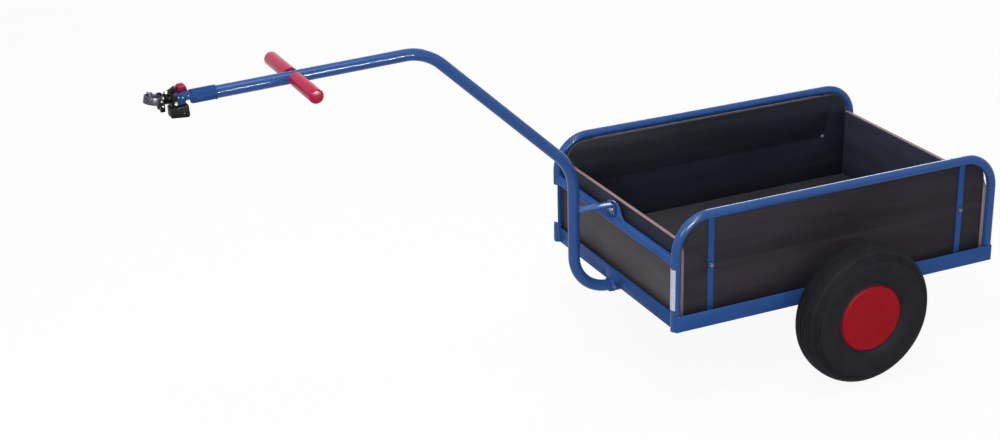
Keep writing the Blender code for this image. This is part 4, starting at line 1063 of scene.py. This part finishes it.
class TRAILER_OT_coupling(Builder, bpy.types.Operator):
    """The hitch channel, the coupling and the seat-post clamp"""

    bl_idname = "trailer.coupling"
    bl_label = "Coupling"

    def build(self, sizes):
        self.plain()
        self.head()
        self.cap()
        self.small_parts()

    def plain(self):
        pieces = (
            ("hitch_channel", "channel", "frame", "blue_paint", "blue_dark", SHEET_EDGE),
            ("latch_housing", "latch", "coupling", "black_plastic", "plastic", SHEET_EDGE),
            ("lock_lever", "lever", "lock_lever", "black_steel", "black", FORGED_EDGE),
            ("clamp_block", "block", "post_clamp", "black_steel", "black", FORGED_EDGE),
            ("clamp_band", "band", "post_clamp", "dark_band", "band", 0.0004),
        )
        for node, name, body, slot, key, width in pieces:
            finished(refined(node, name, width), body, slot, key, replaces=[node])

    def head(self):
        """The coupling head; its two outer plates rise to the lever in a slope."""
        head = refined("coupling_head", "head", 0)
        pin = spot(*HITCH)
        for past, rise in ((-0.01, 0.002), (0.0, 0.006)):
            x, z = pin.x + past, pin.z + 0.0155
            pick(head, lambda v: v.co.x > x and v.co.z > z and abs(v.co.y) > 0.016)
            bpy.ops.transform.translate(value=(0, 0, rise))
            leave_edit()
        bevelled(head, 0.0003)
        finished(head, "coupling", "black_steel", "black", replaces=["coupling_head"])

    def cap(self):
        """The lever's red cap, pushed over the arm, with a shallow recess in each side."""
        a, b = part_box("lever_grip")
        arm, y = high("lock_lever").x + 0.0004, b.y
        outline = [(a.x, a.z), (b.x - 0.006, a.z), (b.x - 0.0022, a.z + 0.0014), (b.x - 0.0006, a.z + 0.004)]
        outline += [(b.x, a.z + 0.0072), (b.x - 0.0005, b.z - 0.005), (b.x - 0.0022, b.z - 0.002)]
        outline += [(b.x - 0.0055, b.z - 0.0004), (b.x - 0.0085, b.z), (a.x + 0.0035, b.z - 0.0008)]
        outline += [(a.x, b.z - 0.0026)]
        cap = pulled("lever_cap", [(x, -y, z) for x, z in outline], (0, 2 * y, 0))
        bevelled(cap, 0.0018, 50, 3)
        recess = [(a.x + 0.002, 0.006), (b.x - 0.005, 0.0066), (b.x - 0.004, 0.008), (b.x - 0.005, 0.0098)]
        recess += [(a.x + 0.002, 0.0104)]
        sleeve = [(a.x - 0.01, 0.0061), (arm, 0.0061), (arm, 0.0121), (a.x - 0.01, 0.0121)]
        slot = low("lock_lever").y - 0.0004
        cuts = [(recess, s * (y - 0.0011), s * 0.01) for s in (-1, 1)] + [(sleeve, slot, -2 * slot)]
        for line, start, way in cuts:
            booled(cap, pulled("cut", [(x, start, a.z + z) for x, z in line], (0, way, 0)))
        finished(cap, "lock_lever", "red_plastic", "cap", replaces=["lever_grip"], smooth=40)

    def small_parts(self):
        """Rivets of the channel, the pitch pin's ends, and the screws of the block and the latch."""
        cheek = high("hitch_channel").y - 0.0003
        rivets = ((-0.9985, 0.6283, 0.0022), (-0.9894, 0.6268, 0.0022), (-0.9776, 0.6291, 0.0016))
        for i, (x, z, r) in enumerate(rivets):
            # The rivets take the pale finish: painted highlight on real rivet heads
            rivet = dome_head(f"rivet_right_{i}", spot(x, cheek, z), (0, 1, 0), r, 0.0011, 20)
            paired(rivet, "frame", "zinc_steel", "rivet")
        edge, r = high("pitch_pin").y, 0.003
        profile = [(0.0, edge - 0.0012), (r * 0.55, edge - 0.001), (r * 0.8, edge - 0.0002), (r * 1.05, edge)]
        profile += [(r * 1.2, edge - 0.0005), (r * 1.32, edge - 0.0013), (r * 1.32, edge - 0.002), (r, edge - 0.002)]
        profile += [(radius, -along) for radius, along in reversed(profile)]
        pivot = turned("pivot_pin", profile, spot(*HITCH), (0, 1, 0), 32)
        finished(pivot, "frame", "zinc_steel", "pin", replaces=["pitch_pin"], smooth=40)
        side = low("clamp_block").y + 0.0002
        for i, (x, z) in enumerate(((-1.029, 0.6318), (-1.0332, 0.625), (-1.0306, 0.6143))):
            screw = dome_head(f"block_screw_{i}", spot(x, side, z), (0, -1, 0), 0.0021, 0.0012, 20)
            finished(screw, "post_clamp", "zinc_steel", "pin", smooth=40)
        side = low("latch_housing").y
        screw = dome_head("latch_screw", spot(-0.9887, side + 0.0002, 0.5925), (0, -1, 0), 0.0017, 0.0008, 20)
        finished(screw, "coupling", "black_steel", "band", smooth=40)
        # A thin pale bead along the latch housing's top edge: painted highlight
        lip = seam("latch_lip", [spot(-1.003, side, 0.605), spot(-0.9825, side, 0.607)], 0.0007)
        finished(lip, "coupling", "black_plastic", "band", smooth=70)


class TRAILER_OT_stage(Builder, bpy.types.Operator):
    """Pale floor, soft studio light and the camera"""

    bl_idname = "trailer.stage"
    bl_label = "Stage"

    def build(self, sizes):
        self.floor()
        self.world()
        self.lamps()
        self.camera()

    def floor(self):
        """The camera sees it nearly white, like the photo's ground, and it still takes shadows."""
        deselect()
        bpy.ops.mesh.primitive_plane_add(size=60, location=(0, 0, 0))
        floor = fresh("studio_floor")
        edit(floor)
        bpy.ops.mesh.subdivide(number_cuts=3)
        leave_edit()
        f = Finish("studio floor", bpy.context.scene.trailer_colours.floor, 0.9, 0.0)
        f.lift(f.shader, f.node("ShaderNodeEmission", {"Color": WHITE, "Strength": 1.0}), 0.93, "Material Output")
        floor.data.materials.append(f.material)

    def world(self):
        """White to look at, and dimmer as a light."""
        world = bpy.data.worlds.new("studio")
        bpy.context.scene.world = world
        world.use_nodes = True
        nodes = Nodes(world.node_tree)
        dim = nodes.tree.nodes["Background"]
        nodes.join(WHITE, dim.inputs["Color"])
        nodes.join(0.36, dim.inputs["Strength"])
        nodes.lift(dim, nodes.node("ShaderNodeBackground", {"Color": WHITE, "Strength": 1.0}), 1.0, "World Output")

    def lamps(self):
        """Area lamps. The strips only make the long highlights on the tubes."""
        for name, place, height, width, watts in (
            ("key", (-6.2, -7.0, 5.6), 3.2, 3.2, 345.0),
            ("top", (-0.4, -0.6, 4.2), 2.0, 2.0, 95.0),
            ("high strip", (-0.1, -3.3, 3.55), 1.3, 0.2, 70.0),
            ("low strip", (0.3, -3.3, 1.1), 0.1, 1.3, 300.0),
            ("side strip", (-2.62, -3.3, 2.4), 1.6, 0.14, 40.0),
            ("fill", (5.4, 6.6, 3.0), 3.2, 3.2, 210.0),
        ):
            strip = "strip" in name
            lamp = bpy.data.lights.new(name, "AREA")
            lamp.shape = "RECTANGLE"
            lamp.size, lamp.size_y = width, height
            lamp.energy = watts
            obj = bpy.data.objects.new(name, lamp)
            bpy.context.collection.objects.link(obj)
            obj.location = place
            obj.visible_diffuse = not strip
            aim = Vector((0.1, 0, place[2] if strip else 0.2)) - Vector(place)
            obj.rotation_euler = aim.to_track_quat("-Z", "Y").to_euler()

    def camera(self):
        """The camera that was fitted to points read off the photo."""
        turn = Matrix.Identity(4)
        for degrees, axis in ((-24.49, "Z"), (90 - 22.65, "X"), (-1.41, "Z")):
            turn @= Matrix.Rotation(radians(degrees), 4, axis)
        data = bpy.data.cameras.new("camera")
        data.lens = 67.86
        data.sensor_width = 36.0
        camera = bpy.data.objects.new("camera", data)
        bpy.context.collection.objects.link(camera)
        camera.matrix_world = Matrix.Translation(spot(-1.9055, -3.5491, 1.8454)) @ turn
        bpy.context.scene.camera = camera


class TRAILER_PT_panel(bpy.types.Panel):
    """Lists the trailer's sizes, colours and operators in the sidebar"""

    bl_idname = "TRAILER_PT_panel"
    bl_label = "Bicycle trailer"
    bl_space_type = "VIEW_3D"
    bl_region_type = "UI"
    bl_category = "Trailer"

    def draw(self, context):
        for group in (context.scene.trailer_sizes, context.scene.trailer_colours):
            box = self.layout.box()
            for key in type(group).__annotations__:
                box.prop(group, key)
        for operator in OPERATORS:
            self.layout.operator(operator.bl_idname)


OPERATORS = (
    TRAILER_OT_finishes,
    TRAILER_OT_stage,
    TRAILER_OT_hoops,
    TRAILER_OT_rails,
    TRAILER_OT_bars,
    TRAILER_OT_boards,
    TRAILER_OT_welds,
    TRAILER_OT_fasteners,
    TRAILER_OT_drawbar,
    TRAILER_OT_handle,
    TRAILER_OT_strips,
    TRAILER_OT_tyres,
    TRAILER_OT_covers,
    TRAILER_OT_coupling,
)
CLASSES = (TrailerSizes, TrailerColours, TRAILER_PT_panel) + OPERATORS


def register():
    for item in CLASSES:
        bpy.utils.register_class(item)
    bpy.types.Scene.trailer_sizes = PointerProperty(type=TrailerSizes)
    bpy.types.Scene.trailer_colours = PointerProperty(type=TrailerColours)


def unregister():
    del bpy.types.Scene.trailer_colours
    del bpy.types.Scene.trailer_sizes
    for item in reversed(CLASSES):
        bpy.utils.unregister_class(item)


def main():
    register()
    bpy.context.scene.view_settings.view_transform = "Standard"
    for operator in OPERATORS:
        group, name = operator.bl_idname.split(".")
        if getattr(getattr(bpy.ops, group), name)() != {"FINISHED"}:
            raise RuntimeError(operator.bl_label + " didn't finish")


if __name__ == "__main__":
    main()
